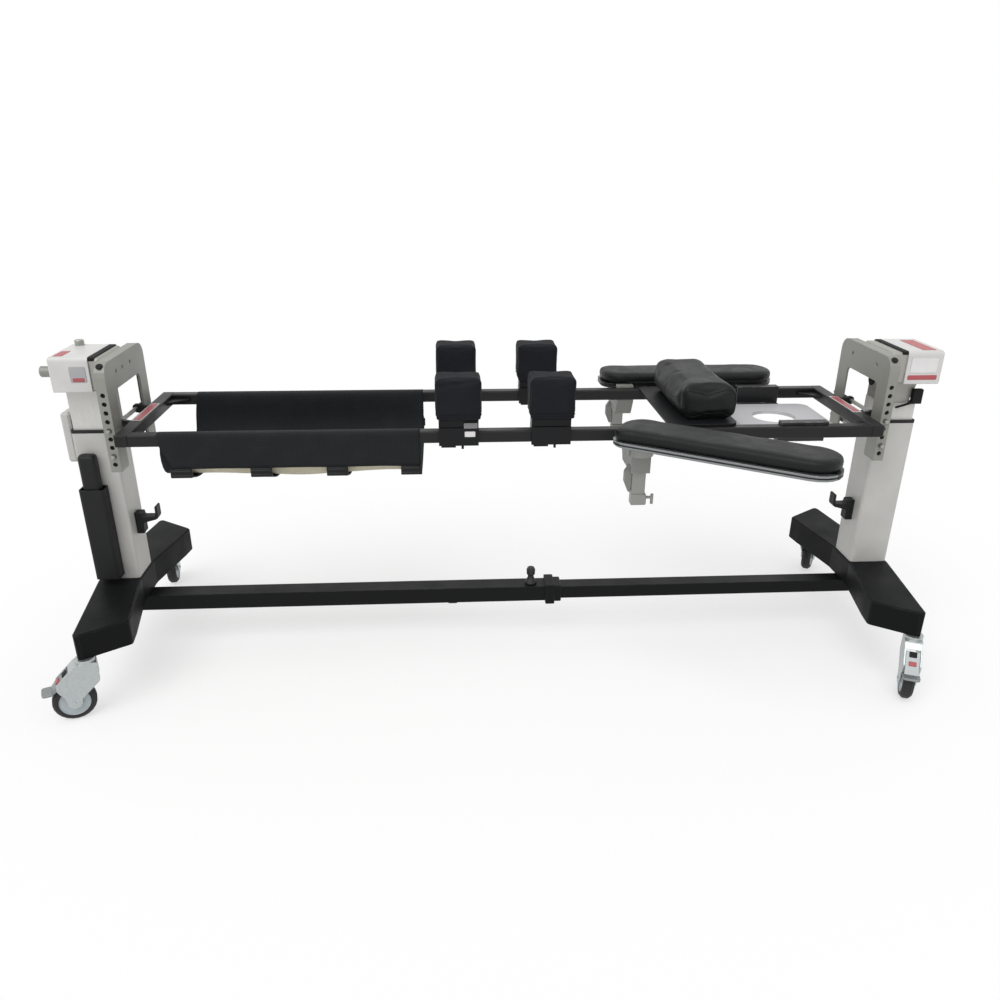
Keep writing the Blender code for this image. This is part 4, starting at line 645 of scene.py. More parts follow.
class SPINE_TABLE_OT_casters(Step, bpy.types.Operator):
    """Finish the four casters and their brake pedals"""

    bl_idname = "spine_table.casters"
    bl_label = "Casters"

    def build(self, c, s):
        # Zinc plate on pressed forks: pale cool grey with faint flakes.
        zinc = plated("zinc_plated_fork", c.zinc, 0.36)
        axles = {}
        for name, trail in TRAIL.items():
            dress(zinc, name + "_fork")
            low, high = node_box(name + "_wheel")
            axles[name] = Vector(((low.x + high.x) / 2, (low.y + high.y) / 2, WHEEL_RADIUS))
            # Rubber tyre round a nylon disc: dull black against smooth pale grey.
            wheel = wheel_finish(name + "_rubber_and_nylon", axles[name], radians(trail), c.tyre, c.hub)
            dress(wheel, name + "_wheel")
        # Moulded red grip on the pedal's slope: the only strong colour low on the table.
        grip = coated("red_moulded_grip", c.red, 0.5, 0.002, 0.0003, 1.3, gloss=0.4)
        # Dull dark patch above it: painted shade, a thin black slab where the hood has a dark recess.
        rubber = coated("pedal_painted_shade_patch", c.plastic, 0.7, 0.002, 0.0003, 2.0, gloss=0.25)
        # Zinc plate worn by shoes: darker and duller than the forks.
        worn = plated("zinc_plated_pedal", shade(c.zinc, 0.6), 0.4)
        for name in ("front_left", "front_right"):
            dress(worn, name + "_brake_pedal")
            trail = radians(TRAIL[name])
            ahead = Vector((cos(trail), sin(trail), 0))
            slope = ahead * PEDAL_SLOPE[0] + Vector((0, 0, PEDAL_SLOPE[1]))
            # The second row, pad, is the dark patch of painted shade above the grip.
            for part, finish, (reach, rise, half) in (("grip", grip, PEDAL_GRIP), ("pad", rubber, PEDAL_SHADE_PATCH)):
                bm = slab((-0.010, -half, 0), (0.010, half, 0.002), 0.002, 0.0008)
                stand(bm, axles[name] + ahead * reach + Vector((0, 0, rise - WHEEL_RADIUS)), slope)
                piece(name + "_pedal_" + part, bm, finish, name + "_brake")


class SPINE_TABLE_OT_columns(Step, bpy.types.Operator):
    """Finish the lift columns with their wipers, hooks, holster and pendant"""

    bl_idname = "spine_table.columns"
    bl_label = "Columns"

    def build(self, c, s):
        # Stoved enamel on steel: smooth pale grey, a little darker where edges are rubbed.
        paint = coated("grey_enamel_on_steel", c.column, 0.4, 0.006, 0.0003, 0.7)
        dress(paint, "left_outer_column", "right_outer_column")
        # Drawn and anodised tube: soft upright lines with a low sheen.
        tube = brushed("anodised_aluminium_tube", c.inner, 0.42, "Z", metallic=0.35)
        dress(tube, "left_inner_column", "right_inner_column")
        # Ground rod: bright metal with fine lines along it.
        dress(brushed("ground_steel_rod", c.steel, 0.3, "Z"), "left_actuator", "right_actuator")
        # Moulded nylon: dull black with a fine tooth.
        black = coated("moulded_black_nylon", c.plastic, 0.55, 0.003, 0.0004, 3.0, gloss=0.3)
        dress(black, "left_hook", "right_hook", "pendant_holster")
        # Finer moulding of the pendant: a shade glossier from being held.
        dress(coated("moulded_black_pendant", c.plastic, 0.48, 0.002, 0.0003, 2.5, gloss=0.3), "hand_pendant")
        # Pale moulded cover: like the enamel, but duller.
        dress(coated("pale_moulded_cover", c.column, 0.45, 0.004, 0.0003, 0.75), "motor_cover")
        # Wiper rubber: the dullest black, a thin line round each column.
        rubber = coated("wiper_rubber", c.plastic, 0.75, 0.003, 0.0003, 1.5)
        lip, grip, rise = WIPER
        for side in ("left", "right"):
            low, high = node_box(side + "_outer_column")
            wall = (node_box(side + "_inner_column")[0].x - low.x) * 0.85
            bm = block((low.x - lip, low.y - lip, high.z - grip), (high.x + lip, high.y + lip, high.z + rise))
            round_off(bm, edges_along(bm, 2), 0.008, 4)
            hole = [f for f in bm.faces if abs(f.normal.z) > 0.9]
            bmesh.ops.delete(bm, geom=hole, context="FACES")
            bmesh.ops.recalc_face_normals(bm, faces=bm.faces)
            bmesh.ops.solidify(bm, geom=bm.faces[:], thickness=wall)
            bmesh.ops.recalc_face_normals(bm, faces=bm.faces)
            piece(side + "_column_wiper", bm, rubber, "base")


class SPINE_TABLE_OT_heads(Step, bpy.types.Operator):
    """Finish the head blocks, their casings and blank tags"""

    bl_idname = "spine_table.heads"
    bl_label = "Heads"

    def build(self, c, s):
        # Blasted casting: an even grey with a fine tooth and a little metal in it.
        cast = coated("blasted_alloy_casting", c.casting, 0.45, 0.003, 0.0004, 1.2, 0.4)
        dress(cast, "left_head_block", "right_head_block")
        # Moulded ABS: smooth and pale with a soft gloss.
        shell = coated("pale_abs_shell", c.casing, 0.35, 0.006, 0.0002, 0.8)
        dress(shell, "left_head_casing", "right_head_casing")
        # Blank vinyl tags: flat patches of colour on the pale shell.
        red = tag_vinyl("red_vinyl_tag", c.red, 1.3)
        white = tag_vinyl("white_vinyl_tag", c.white, 0.8)
        grey = tag_vinyl("grey_vinyl_tag", shade(c.plate, 0.8), 1.1 / 0.8)
        # Each row: near left and far right corner of the top tag, then the plates on the front face.
        # Each plate: half width, height, corner radius, place along the face, layers under it and foot.
        for side, (x0, y0, x1, y1), plates in (
            ("left", (0.010, 0.018, 0.034, 0.080), (
                ("tag", grey, 0.021, 0.042, 0.003, 0.074, 0, 0.026),
                ("band", red, 0.015, 0.010, 0.002, 0.074, 1, 0.028),
            )),
            ("right", (0.046, 0.014, 0.086, 0.150), (
                ("tag", white, 0.039, 0.043, 0.003, 0.050, 0, 0.031),
                ("band", red, 0.042, 0.013, 0.003, 0.050, 0, 0.012),
            )),
        ):
            low, high = node_box(side + "_head_casing")
            bm = slab((low.x + x0, low.y + y0, high.z), (low.x + x1, low.y + y1, high.z + s.tag),
                      0.003, s.tag / 2)
            piece(side + "_casing_top_tag", bm, red, side + "_lift")
            for name, finish, half, rise, corner, x, layers, foot in plates:
                bm = slab((-half, 0, 0), (half, rise, s.tag), corner, s.tag / 2)
                stand_front(bm, (low.x + x, low.y - layers * s.tag, low.z + foot))
                piece(side + "_casing_front_" + name, bm, finish, side + "_lift")
        self.trim(c)

    def trim(self, c):
        # Moulded rubber boots and knobs: dull black in the gap between casing and yoke.
        rubber = coated("moulded_rubber_boot", c.plastic, 0.7, 0.003, 0.0003, 2.0, gloss=0.25)
        for side, inward in (("left", 1), ("right", -1)):
            low, high = node_box(side + "_head_casing")
            face = high.x if inward > 0 else low.x
            reach = face + inward * BOOT_DEPTH
            bm = block((min(face, reach), low.y + 0.003, high.z - 0.012),
                       (max(face, reach), high.y - 0.003, high.z - 0.0008))
            round_off(bm, edges_along(bm, 0), 0.004, 3)
            round_off(bm, [e for e in bm.edges if all(abs(v.co.x - reach) < 1e-5 for v in e.verts)], 0.002, 2)
            piece(side + "_casing_boot", bm, rubber, side + "_lift")
        # Turned alloy stud on the casing's lid: a small bright top with a dull side.
        metal = brushed("turned_alloy_stud", c.steel, 0.3, "Z", metallic=0.7)
        low, high = node_box("left_head_casing")
        stud = turned_shape([(0, 0), (0.0125, 0), (0.0125, 0.013), (0.0105, 0.015), (0, 0.015)])
        stand(stud, (low.x + STUD_INSET[0], high.y - STUD_INSET[1], high.z), (0, 0, 1))
        piece("left_casing_stud", stud, metal, "left_lift")
        boss = turned_shape([(0, 0), (0.017, 0), (0.017, 0.003), (0.014, 0.0045), (0.006, 0.0045),
                             (0.005, 0.0035), (0, 0.0035)])
        stand(boss, (node_box("right_head_block")[0].x, MIDDLE_Y, ROLL_Z), (-1, 0, 0))
        piece("right_bearing_boss", boss, rubber, "right_lift")
        under = Vector((0, 0, node_box("right_head_casing")[0].z))
        bm = slab(under + LOCK_LOW, under + LOCK_HIGH, 0.004, 0.003)
        piece("right_lock_body", bm, rubber, "right_lift")
        # Dark rod from the lock's foot: painted shade, a black piece where the bracket's shadow falls.
        shade_rod = turned_shape([(0, 0), (0.0028, 0), (0.0034, 0.001), (0.0034, 0.050), (0.0026, 0.052),
                              (0, 0.052)], 14)
        stand(shade_rod, under + SHADE_ROD_FOOT, SHADE_ROD_AIM)
        piece("right_lock_painted_shade_rod", shade_rod, rubber, "right_lift")


class SPINE_TABLE_OT_patient_frame(Step, bpy.types.Operator):
    """Finish the yokes, pins, rails and crossbars"""

    bl_idname = "spine_table.patient_frame"
    bl_label = "Yokes and rails"

    def build(self, c, s):
        # Enamel on pressed channel: warm grey, with paler edges where the pins rub.
        grey = coated("grey_enamel_on_channel", c.yoke, 0.42, 0.005, 0.0003, 1.35, 0.15)
        dress(grey, "left_yoke", "right_yoke")
        # Ground pins: bright steel with fine lines along them.
        pins = brushed("ground_steel_pin", c.steel, 0.28, "Y")
        dress(pins, "left_upper_pin", "left_lower_pin", "right_upper_pin", "right_lower_pin")
        # Satin coat on the tubes: black with a soft streak of light along the top.
        rail = coated("satin_black_rail_coat", c.rail, 0.4, 0.006, 0.0002, 3.0, gloss=0.3)
        dress(rail, "near_rail", "far_rail", "foot_crossbar", "head_crossbar")
        # Blank enamel tags: a red band on a white plate, along each crossbar.
        red = tag_vinyl("red_enamel_tag", c.red, 1.3)
        white = tag_vinyl("white_enamel_tag", c.white, 0.8)
        for side, x in BAR_TAGS.items():
            top = RAIL_TOP + 0.0002
            for name, finish, wide, long in (("tag", white, 0.0125, 0.085), ("band", red, 0.0095, 0.080)):
                bm = slab((x - wide, MIDDLE_Y - long, top), (x + wide, MIDDLE_Y + long, top + s.tag),
                          0.003, s.tag / 2)
                piece(side + "_bar_" + name, bm, finish, "table_top")
                top += s.tag
        self.plugs(c)

    def plugs(self, c):
        # Pressed nylon plugs in the channel's shoulders: small dull black domes.
        black = coated("pressed_nylon_plug_and_painted_shade", c.plastic, 0.6, 0.002, 0.0002, 2.0, gloss=0.25)
        slant = radians(50)
        for side, body, inward in (("left", "table_top", 1), ("right", "right_roll", -1)):
            low, high = node_box(side + "_yoke")
            face = high.x if inward > 0 else low.x
            dome = turned_shape([(0, 0), (0.009, 0), (0.009, 0.002), (0.007, 0.004), (0, 0.0048)], 20)
            point = (face - inward * PLUG_INSET[0], low.y + PLUG_INSET[1], high.z - PLUG_INSET[2])
            stand(dome, point, (0, -cos(slant), sin(slant)))
            piece(side + "_yoke_plug", dome, black, body)
            # Black strip behind each row of pin holes: painted shade, a dark sheet where the open channel is
            # only in shadow, so that the holes look dark.
            start_x, end_x = sorted(face - inward * reach for reach in SHADE_STRIP_REACH)
            for row, y in (("near", low.y + 0.0064), ("far", high.y - 0.0064 - SHADE_STRIP_THICK)):
                bm = block((start_x, y, low.z + SHADE_STRIP_RISE[0]),
                           (end_x, y + SHADE_STRIP_THICK, low.z + SHADE_STRIP_RISE[1]))
                round_off(bm, edges_along(bm, 1), 0.002, 2)
                piece("%s_yoke_%s_liner" % (side, row), bm, black, body)


def sling_section(off, sag, hang):
    """Half of the sling's section: outer hem, over the rail, down inside, to the middle of the floor."""
    outer = RAIL_OUT + off
    inner = RAIL_IN - off
    top = RAIL_TOP + off
    floor = RAIL_TOP - sag - off
    return [
        (outer, RAIL_TOP - hang), (outer, RAIL_TOP - 0.75 * hang), (outer, RAIL_TOP - 0.5 * hang),
        (outer, RAIL_TOP - 0.25 * hang), (outer, top - 0.004), (outer - 0.004, top), (inner + 0.004, top),
        (inner, top - 0.004), (inner - 0.0005, RAIL_TOP - 0.22 * sag), (inner - 0.001, RAIL_TOP - 0.45 * sag),
        (inner - 0.010, RAIL_TOP - 0.75 * sag), (inner - 0.035, floor + 0.009), (0.45 * inner, floor + 0.001),
        (0.0, floor),
    ]


def sheet_of(points, stations):
    """Draw a chain of points out along the table, station by station, and keep its UV in metres."""
    bm = bmesh.new()
    run = [0.0]
    for a, b in zip(points, points[1:]):
        run.append(run[-1] + (Vector(a) - Vector(b)).length)
    rows = [[bm.verts.new((stations[0], y, z)) for y, z in points]]
    edges = [bm.edges.new(pair) for pair in zip(rows[0], rows[0][1:])]
    for before, x in zip(stations, stations[1:]):
        drawn = bmesh.ops.extrude_edge_only(bm, edges=edges)["geom"]
        fresh = [v for v in drawn if isinstance(v, bmesh.types.BMVert)]
        bmesh.ops.translate(bm, vec=(x - before, 0, 0), verts=fresh)
        edges = [e for e in drawn if isinstance(e, bmesh.types.BMEdge) and all(v in fresh for v in e.verts)]
        order = {(v.co.y, v.co.z): v for v in fresh}
        rows.append([order[(v.co.y, v.co.z)] for v in rows[-1]])
    bmesh.ops.recalc_face_normals(bm, faces=bm.faces)
    layer = bm.loops.layers.uv.new("cloth")
    where = {v: (v.co.x, run[k]) for row in rows for k, v in enumerate(row)}
    for face in bm.faces:
        for loop in face.loops:
            loop[layer].uv = where[loop.vert]
    return bm, rows, run[-1]


def outward(chain, gap):
    """Shift a chain of points to the outside of the trough by a gap."""
    moved = []
    for k, (y, z) in enumerate(chain):
        before = Vector(chain[max(k - 1, 0)])
        after = Vector(chain[min(k + 1, len(chain) - 1)])
        run = (after - before).normalized()
        moved.append((y - run.y * gap, z + run.x * gap))
    moved[-1] = (0.0, moved[-1][1])
    return moved


def both_sides(chain):
    """Mirror half a section about the middle of the table."""
    near = [(MIDDLE_Y - y, z) for y, z in chain]
    return near + [(MIDDLE_Y + y, z) for y, z in reversed(chain[:-1])]


class SPINE_TABLE_OT_leg_sling(Step, bpy.types.Operator):
    """Sling of woven cloth over both rails, with its lining, straps and buckles"""

    bl_idname = "spine_table.leg_sling"
    bl_label = "Leg sling"

    def build(self, c, s):
        low, high = node_box("leg_sling")
        # Woven nylon: matt black with a fine square weave, drawn at 6 mm so that it shows.
        cloth = woven("black_woven_nylon", c.sling, 0.006, 0.75, "UV")
        # Cotton lining: cream and quite matt, the one pale cloth.
        lining = woven("cream_cotton_lining", c.lining, 0.006, 0.85, "UV", 0.12)
        # Woven webbing: a little darker and glossier than the cloth.
        webbing = woven("black_nylon_webbing", shade(c.sling, 0.8), 0.006, 0.6, "UV")
        span = high.x - low.x
        clear = 0.0003
        half = sling_section(clear + s.sling_cloth / 2, SLING_SAG, SLING_HANG)
        bm, rows, across = sheet_of(both_sides(half), [low.x + span * k / 44 for k in range(45)])
        for row in rows:
            for k, vert in enumerate(row):
                self.settle(vert, k, len(row), low.x, span)
        made = self.cloth("leg_sling_cloth", bm, cloth, s.sling_cloth)
        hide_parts("leg_sling")
        extras = [self.lining(half[9:], low.x, span, s, lining)]
        for number, x in enumerate(STRAPS):
            extras.append(self.strap(number, x, half, low.x, span, s, webbing))
        self.buckles(c, s)

    def cloth(self, name, bm, material, thickness):
        made = piece(name, bm, material, "table_top", True)
        finer(made)
        thick = made.modifiers.new("thick", "SOLIDIFY")
        thick.thickness = thickness
        thick.offset = 0.0
        return made

    def settle(self, vert, k, count, start_x, span):
        # Flaps wave and scallop between the straps, and the foot end of the cloth is cut slanting.
        share = (vert.co.x - start_x) / span
        foot_end = max(0.0, 1 - 8 * share)
        side = min(k, count - 1 - k)
        out = -1 if k < count / 2 else 1
        if side < 4:
            drop = (RAIL_TOP - vert.co.z) / SLING_HANG
            wave = noise.noise(Vector((vert.co.x * 11, k * 0.7, 1.7)))
            vert.co.y += out * drop * (0.0010 + 0.0016 * wave)
            vert.co.x += 0.034 * max(0.0, (drop - 0.25) / 0.75) * foot_end
            vert.co.z += drop * 0.0015 * abs(sin(pi * (share - 0.07) / 0.300))
        elif side == 8:
            wave = noise.noise(Vector((vert.co.x * 13, vert.co.z * 13, 7.3)))
            vert.co.y += out * 0.0015 * (wave - 1)
            vert.co.x -= 0.004 * foot_end
        elif side > 8:
            vert.co.x -= 0.010 * foot_end
            self.belly(vert, start_x, span)

    def belly(self, vert, start_x, span):
        # The floor of the trough rises and falls along its length, more the deeper it hangs.
        share = (vert.co.x - start_x) / span
        depth = (RAIL_TOP - vert.co.z) / SLING_SAG
        lift = 0.004 * sin(3 * pi * share) + 0.004 * (2 * share - 1) ** 2
        vert.co.z += depth * (lift + 0.003 * noise.noise(Vector((vert.co.x * 9, vert.co.y * 9, 4.1))))

    def lining(self, chain, start_x, span, s, material):
        hem = 0.014
        stations = [start_x + hem + (span - 2 * hem) * k / 24 for k in range(25)]
        bm = sheet_of(both_sides(outward(chain, s.sling_cloth / 2 + 0.0018)), stations)[0]
        for vert in bm.verts:
            self.belly(vert, start_x, span)
        return self.cloth("leg_sling_lining", bm, material, 0.0012)

    def strap(self, number, x, half, start_x, span, s, webbing):
        gap = (s.sling_cloth + s.webbing) / 2 + 0.0004
        y, z = half[0]
        lap = [(y - 0.004, z + 0.018), (y - 0.004, z), (y - 0.005, z - 0.020), (y - 0.012, z - 0.027)]
        chain = lap + outward(half[10:], gap + 0.0040)[1:]
        bm, rows, _ = sheet_of(both_sides(chain), [x + s.strap_width * (k / 3 - 0.5) for k in range(4)])
        for row in rows:
            for vert in row[len(lap):len(row) - len(lap)]:
                self.belly(vert, start_x, span)
        return self.cloth("leg_sling_strap_%d" % (number + 1), bm, webbing, s.webbing)

    def buckles(self, c, s):
        # Moulded buckles: hard satin black against the matt cloth.
        black = coated("moulded_acetal_buckle", c.plastic, 0.4, 0.003, 0.0002, 2.5, gloss=0.25)
        whole = bmesh.new()
        half = s.strap_width / 2 + 0.003
        hem = RAIL_TOP - SLING_HANG
        # Each bar: its foot and top from the hem, and half its depth.
        bars = ((-0.024, 0.001, 0.003), (-0.022, -0.016, 0.0046), (-0.010, -0.004, 0.0046))
        for x in STRAPS:
            for out in (-1, 1):
                y = MIDDLE_Y + out * (RAIL_OUT + 0.0020)
                for foot, top, deep in bars:
                    bm = block((x - half, y - deep, hem + foot), (x + half, y + deep, hem + top))
                    round_off(bm, bm.edges[:], 0.0022, 3)
                    mesh = bpy.data.meshes.new("buckle")
                    bm.to_mesh(mesh)
                    bm.free()
                    whole.from_mesh(mesh)
                    bpy.data.meshes.remove(mesh)
        piece("leg_sling_buckles", whole, black, "table_top", True)


class SPINE_TABLE_OT_rail_pads(Step, bpy.types.Operator):
    """Thigh and hip pads: stuffed blocks with a piped seam near the foot"""

    bl_idname = "spine_table.rail_pads"
    bl_label = "Rail pads"

    def build(self, c, s):
        # Black anodising on alloy: a dark satin with bright rubbed edges.
        dark = coated("black_anodised_clamp", c.clamp, 0.4, 0.004, 0.0002, 3.5, 0.3, 0.3)
        # Coated cloth over foam: near matt, with a weave drawn at 5 mm so that it shows.
        cover = woven("coated_cloth_cover", c.pad, 0.005, 0.68, contrast=0.12, gloss=0.06)
        kinds = [row + "_" + part for part in ("thigh", "hip") for row in ("near", "far")]
        dress(dark, *[kind + "_clamp" for kind in kinds])
        low, high = node_box("near_hip_pad")
        inset = Vector((s.pad_swell, s.pad_swell, s.pad_swell))
        bm = block(low + inset * 0.8, high - inset)
        round_off(bm, edges_along(bm, 2), 0.0025, 2)
        round_off(bm, rims(bm, high.z - inset.z), 0.0025, 2)
        round_off(bm, rims(bm, low.z + inset.z * 0.8), 0.006, 2)
        form = stuffed(bm, 0.004, s.pad_swell, low.z, 0)
        for seed, kind in enumerate(kinds):
            here = form.copy()
            at, top = node_box(kind + "_pad")
            bmesh.ops.translate(here, vec=at - low, verts=here.verts)
            ripple(here, 0.06, 0.0014, 3.1 * seed + 0.4)
            sew(here, 2, at.z + PAD_SEAM, 0.0022, 0.0040)
            welt(here, 2, at.z + PAD_SEAM, s.welt)
            if kind == "near_thigh":
                crease(here, (at.x, at.y, top.z - 0.022), (top.x, at.y, top.z - 0.002), 0.0030, 0.006)
            cushion(kind + "_cushion", here, cover, kind + "_support", kind + "_pad")
        form.free()
        self.tags(c, s)

    def tags(self, c, s):
        # Blank vinyl tags: smooth and pale against the clamp.
        white = tag_vinyl("white_vinyl_clamp_tag", c.white, 0.8)
        grey = tag_vinyl("grey_vinyl_clamp_tag", shade(c.plate, 0.45), 0.8 / 0.45)
        face = MIDDLE_Y - RAIL_OUT - CLAMP_FACE
        for name, material, start_x, end_x, z in (
            ("upper", grey, -0.098, -0.062, 0.749), ("lower", white, -0.096, -0.068, 0.726),
        ):
            bm = slab((start_x, 0, 0), (end_x, 0.015, s.tag), 0.002, s.tag / 2)
            stand_front(bm, (0, face, z))
            piece("near_thigh_%s_tag" % name, bm, material, "near_thigh_support")


class SPINE_TABLE_OT_chest_pad(Step, bpy.types.Operator):
    """Chest bolster with piped end panels, on its board"""

    bl_idname = "spine_table.chest_pad"
    bl_label = "Chest pad"

    def build(self, c, s):
        # Laminated board: flat dull black.
        dress(coated("black_laminate_board", c.clamp, 0.5, 0.005, 0.0002, 2.5, gloss=0.25), "chest_board")
        low, high = node_box("chest_pad")
        swell = s.chest_swell
        middle = (low + high) / 2
        near = low.y + swell
        bm = block(low + Vector((swell, swell, 0.001)), high - Vector((swell, swell, swell)))
        for is_left, is_upper, radius in (
            (False, True, 0.030), (True, True, 0.016), (False, False, 0.026), (True, False, 0.030),
        ):
            def here(p):
                return (p.x < middle.x) == is_left and (p.z > middle.z) == is_upper
            long = [e for e in edges_along(bm, 1, here) if min(abs(f.normal.z) for f in e.link_faces) < 0.1]
            round_off(bm, [e for e in long if max(abs(f.normal.z) for f in e.link_faces) > 0.9], radius, 5)
        ends = [e for e in bm.edges if any(abs(f.normal.y) > 0.9 for f in e.link_faces)
                and any(abs(f.normal.y) < 0.5 for f in e.link_faces)]
        round_off(bm, ends, 0.007, 2)
        form = stuffed(bm, 0.005, swell, low.z, 2)
        self.shoulder(form, low, high)
        ripple(form, 0.07, 0.002, 5.2)
        for at in (near + 0.006, high.y - swell - 0.006):
            sew(form, 1, at, 0.0040, 0.006)
            welt(form, 1, at, s.welt)
        left = low.x + 0.004
        # Each fold at the near end: distance from that end, its top and foot, and its depth.
        for away, top, foot, depth in (
            (0.026, 0.066, 0.004, 0.0080), (0.056, 0.040, 0.002, 0.0035), (0.092, 0.030, 0.0, 0.0025),
        ):
            upper = (left + 0.004, near + away, low.z + top)
            crease(form, upper, (left + 0.012, near + away - 0.012, low.z + foot), depth, 0.009)
        # Leathercloth stretched over the stuffing: black with soft broken highlights.
        leather = leathercloth("black_leathercloth_bolster", c.leather)
        cushion("chest_bolster", form, leather, "chest_support", "chest_pad")

    def shoulder(self, form, low, high):
        # The stuffing leans out on the side of the hips, most in the middle of the bolster.
        form.normal_update()
        half = (high.y - low.y) / 2
        for vert in form.verts:
            across = (vert.co.y - (low.y + high.y) / 2) / half
            rise = (vert.co.z - low.z) / (high.z - low.z)
            lean = max(0.0, -vert.normal.x) * max(0.0, 1 - across * across) * (1 - 0.6 * rise)
            vert.co.x -= 0.010 * lean


class SPINE_TABLE_OT_head_plate(Step, bpy.types.Operator):
    """Finish the head plate with its dark hangers"""

    bl_idname = "spine_table.head_plate"
    bl_label = "Head plate"

    def build(self, c, s):
        # Satin plate between black hangers: a pale even sheet with dark ends.
        finish = two_tone("satin_plate_dark_hangers", 1, MIDDLE_Y - PLATE_HALF, MIDDLE_Y + PLATE_HALF,
                          c.plate, c.clamp, 0.38, 0.25)
        dress(finish, "head_plate")


class SPINE_TABLE_OT_arms(Step, bpy.types.Operator):
    """Arm clamps, posts, boards and their cushions"""

    bl_idname = "spine_table.arms"
    bl_label = "Arm supports"

    def build(self, c, s):
        # Cast alloy, blasted and clear coated: an even grey with a fine tooth.
        cast = coated("blasted_alloy_clamp", shade(c.steel, 0.62), 0.5, 0.003, 0.0004, 1.2 / 0.62, 0.4)
        dress(cast, "near_arm_clamp", "far_arm_clamp")
        # Ground posts: upright lines and a dull gleam.
        post = brushed("ground_steel_post", shade(c.steel, 0.8), 0.36, "Z", metallic=0.5)
        dress(post, "near_arm_post", "far_arm_post")
        # Leathercloth over firm foam: black with a long soft highlight.
        leather = leathercloth("black_leathercloth_arm", c.leather)
        low, high = node_box("far_arm_pad")
        form = self.form(low, high, s.arm_swell)
        far = Vector((low.x + ARM_AXIS, (low.y + high.y) / 2, 0))
        clamp_low, clamp_high = node_box("near_arm_clamp")
        near = Vector(((clamp_low.x + CLAMP_KNOB + clamp_high.x) / 2, MIDDLE_Y - (far.y - MIDDLE_Y), 0))
        for row, pivot, swing, outer, seed in (
            ("far", far, 0.0, 1.0, 1.3), ("near", near, NEAR_SWING, -1.0, 8.6),
        ):
            here = form.copy()
            ripple(here, 0.06, 0.0012, seed)
            bmesh.ops.translate(here, vec=-far, verts=here.verts)
            if row == "near":
                bmesh.ops.scale(here, vec=(1, -1, 1), verts=here.verts)
                bmesh.ops.reverse_faces(here, faces=here.faces)
            here.transform(Matrix.Translation(pivot) @ Matrix.Rotation(swing, 4, "Z"))
            body = row + "_arm_board"
            cushion(row + "_arm_cushion", here, leather, body, row + "_arm_pad")
            under, over = node_box(body)
            # Drawn alloy rail let into a black tray: long bright lines along the outer side only, with
            # painted shade along the middle of the rail for its groove.
            board = board_finish(row + "_drawn_alloy_rail", c.arm, c.clamp, swing, pivot, outer,
                                 under.z, over.z)
            dress(board, body)
        form.free()

    def form(self, low, high, swell):
        # Long pad, round at the hand and with two different shoulders at the clamp.
        top = swell * 0.8
        bm = block(low + Vector((swell, swell - ARM_OVERHANG, 0.001)), high - Vector((swell, swell, top)))
        half = (high.y - low.y + ARM_OVERHANG) / 2 - swell
        middle = (low + high) / 2
        clamp_end = low.x + 0.05
        round_off(bm, edges_along(bm, 2, lambda p: p.x > middle.x), half - 0.002, 10)
        round_off(bm, edges_along(bm, 2, lambda p: p.x < clamp_end and p.y > middle.y), 0.036, 8)
        round_off(bm, edges_along(bm, 2, lambda p: p.x < clamp_end and p.y < middle.y), 0.064, 8)
        round_off(bm, rims(bm, high.z - top), 0.009, 3)
        round_off(bm, rims(bm, low.z + 0.001), 0.0015, 1)
        return stuffed(bm, 0.005, swell, low.z)


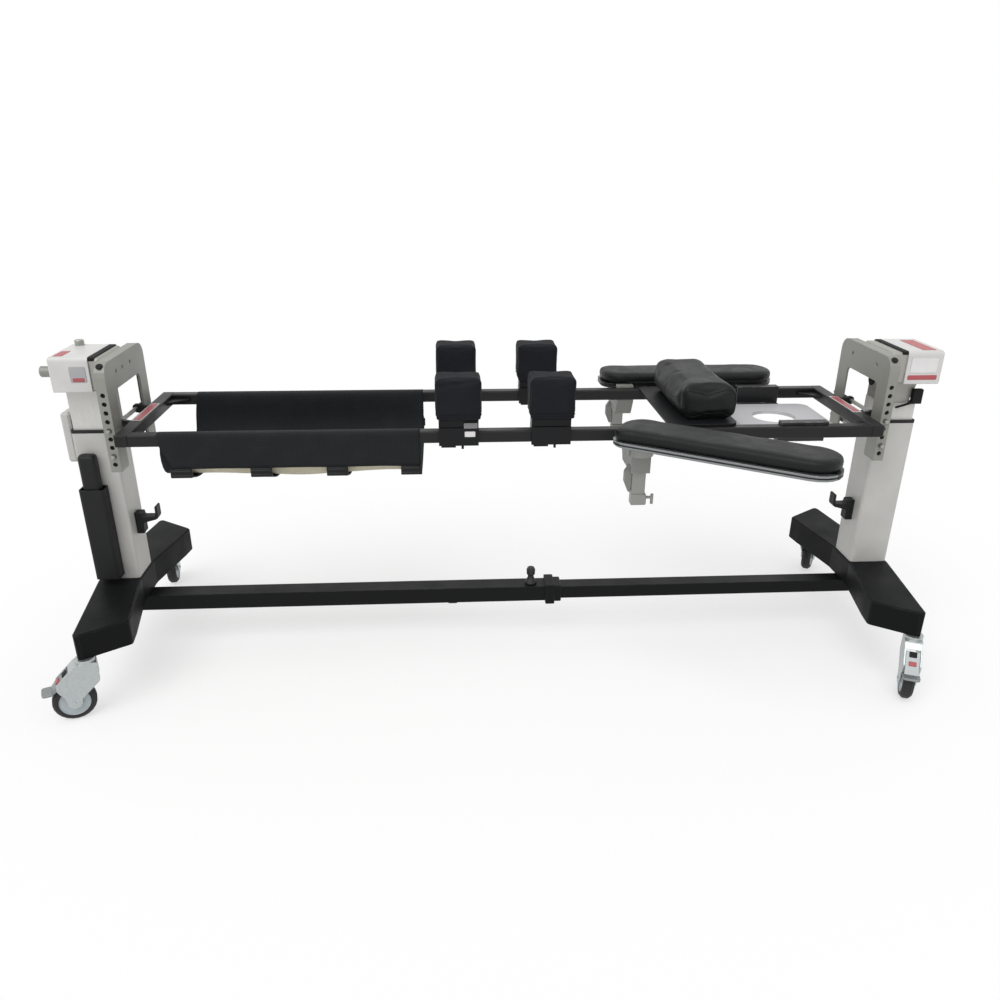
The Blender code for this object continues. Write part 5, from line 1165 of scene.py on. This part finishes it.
class SPINE_TABLE_OT_stage(bpy.types.Operator):
    """Pale floor, soft studio light and the camera"""

    bl_idname = "spine_table.stage"
    bl_label = "Studio"

    def execute(self, context):
        scene = context.scene
        scene.view_settings.view_transform = "Standard"
        self.floor()
        self.light(scene)
        self.camera(scene)
        return {"FINISHED"}

    def floor(self):
        bm = bmesh.new()
        bmesh.ops.create_grid(bm, x_segments=2, y_segments=2, size=30.0)
        made = linked("studio_floor", bm)
        # Seamless paper, lit from within for the eye only: white, with a faint shadow left on it.
        material, add, _ = start("white_studio_floor")
        plain = add("BsdfDiffuse", {"Color": linear("#e6e6e6")})
        shadow = add("BsdfDiffuse", {"Color": (0.45, 0.45, 0.45, 1)})
        glow = add("Emission", {"Color": (1, 1, 1, 1), "Strength": 0.57})
        white = add("AddShader", {0: shadow, 1: glow})
        shown = add("MixShader", {0: seen_by_eye(add), 1: plain, 2: white})
        add("OutputMaterial", {"Surface": shown})
        made.data.materials.append(material)

    def light(self, scene):
        world = bpy.data.worlds.new("studio")
        world.use_nodes = True
        scene.world = world
        world.node_tree.nodes.clear()
        add = partial(put, world.node_tree)
        dim = add("Background", {"Color": (1, 1, 1, 1), "Strength": 0.62})
        white = add("Background", {"Color": (1, 1, 1, 1), "Strength": 1.0})
        both = add("MixShader", {0: seen_by_eye(add), 1: dim, 2: white})
        add("OutputWorld", {"Surface": both})
        sun = bpy.data.lights.new("soft_key", "SUN")
        sun.energy = 1.35
        sun.angle = radians(50)
        lamp = bpy.data.objects.new("soft_key", sun)
        lamp.rotation_euler = Vector((-0.45, -0.75, 1.25)).to_track_quat("Z", "Y").to_euler()
        scene.collection.objects.link(lamp)

    def camera(self, scene):
        yaw, pitch, roll = radians(3.698), radians(23.887), radians(0.378)
        ahead = Vector((sin(yaw) * cos(pitch), cos(yaw) * cos(pitch), -sin(pitch)))
        level = ahead.cross(Vector((0, 0, 1))).normalized()
        lift = level.cross(ahead)
        right = level * cos(roll) + lift * sin(roll)
        up = lift * cos(roll) - level * sin(roll)
        lens = bpy.data.cameras.new("photo_camera")
        lens.lens = 30.585
        lens.sensor_width = 36.0
        lens.shift_y = 0.02639
        made = bpy.data.objects.new("photo_camera", lens)
        place = Matrix.Translation((-0.1395, -2.27985, 1.412))
        made.matrix_world = place @ Matrix((right, up, -ahead)).transposed().to_4x4()
        scene.collection.objects.link(made)
        scene.camera = made


BUILD_ORDER = (
    "stage", "base", "casters", "columns", "heads", "patient_frame", "leg_sling",
    "rail_pads", "chest_pad", "head_plate", "arms",
)


class SPINE_TABLE_PT_sidebar(bpy.types.Panel):
    """Sidebar with the table's sizes, colours and building steps"""

    bl_idname = "SPINE_TABLE_PT_sidebar"
    bl_label = "Spine table"
    bl_space_type = "VIEW_3D"
    bl_region_type = "UI"
    bl_category = "Spine table"

    def draw(self, context):
        for step in BUILD_ORDER:
            self.layout.operator("spine_table." + step)
        for group in (context.scene.spine_table_sizes, context.scene.spine_table_colours):
            for field in group.__annotations__:
                self.layout.prop(group, field)


CLASSES = (
    TableSizes, TableColours, SPINE_TABLE_OT_stage, SPINE_TABLE_OT_base, SPINE_TABLE_OT_casters,
    SPINE_TABLE_OT_columns, SPINE_TABLE_OT_heads, SPINE_TABLE_OT_patient_frame, SPINE_TABLE_OT_leg_sling,
    SPINE_TABLE_OT_rail_pads, SPINE_TABLE_OT_chest_pad, SPINE_TABLE_OT_head_plate, SPINE_TABLE_OT_arms,
    SPINE_TABLE_PT_sidebar,
)


def register():
    for kind in CLASSES:
        bpy.utils.register_class(kind)
    bpy.types.Scene.spine_table_sizes = PointerProperty(type=TableSizes)
    bpy.types.Scene.spine_table_colours = PointerProperty(type=TableColours)


def unregister():
    del bpy.types.Scene.spine_table_colours
    del bpy.types.Scene.spine_table_sizes
    for kind in reversed(CLASSES):
        bpy.utils.unregister_class(kind)


def main():
    register()
    for step in BUILD_ORDER:
        getattr(bpy.ops.spine_table, step)()


if __name__ == "__main__":
    main()
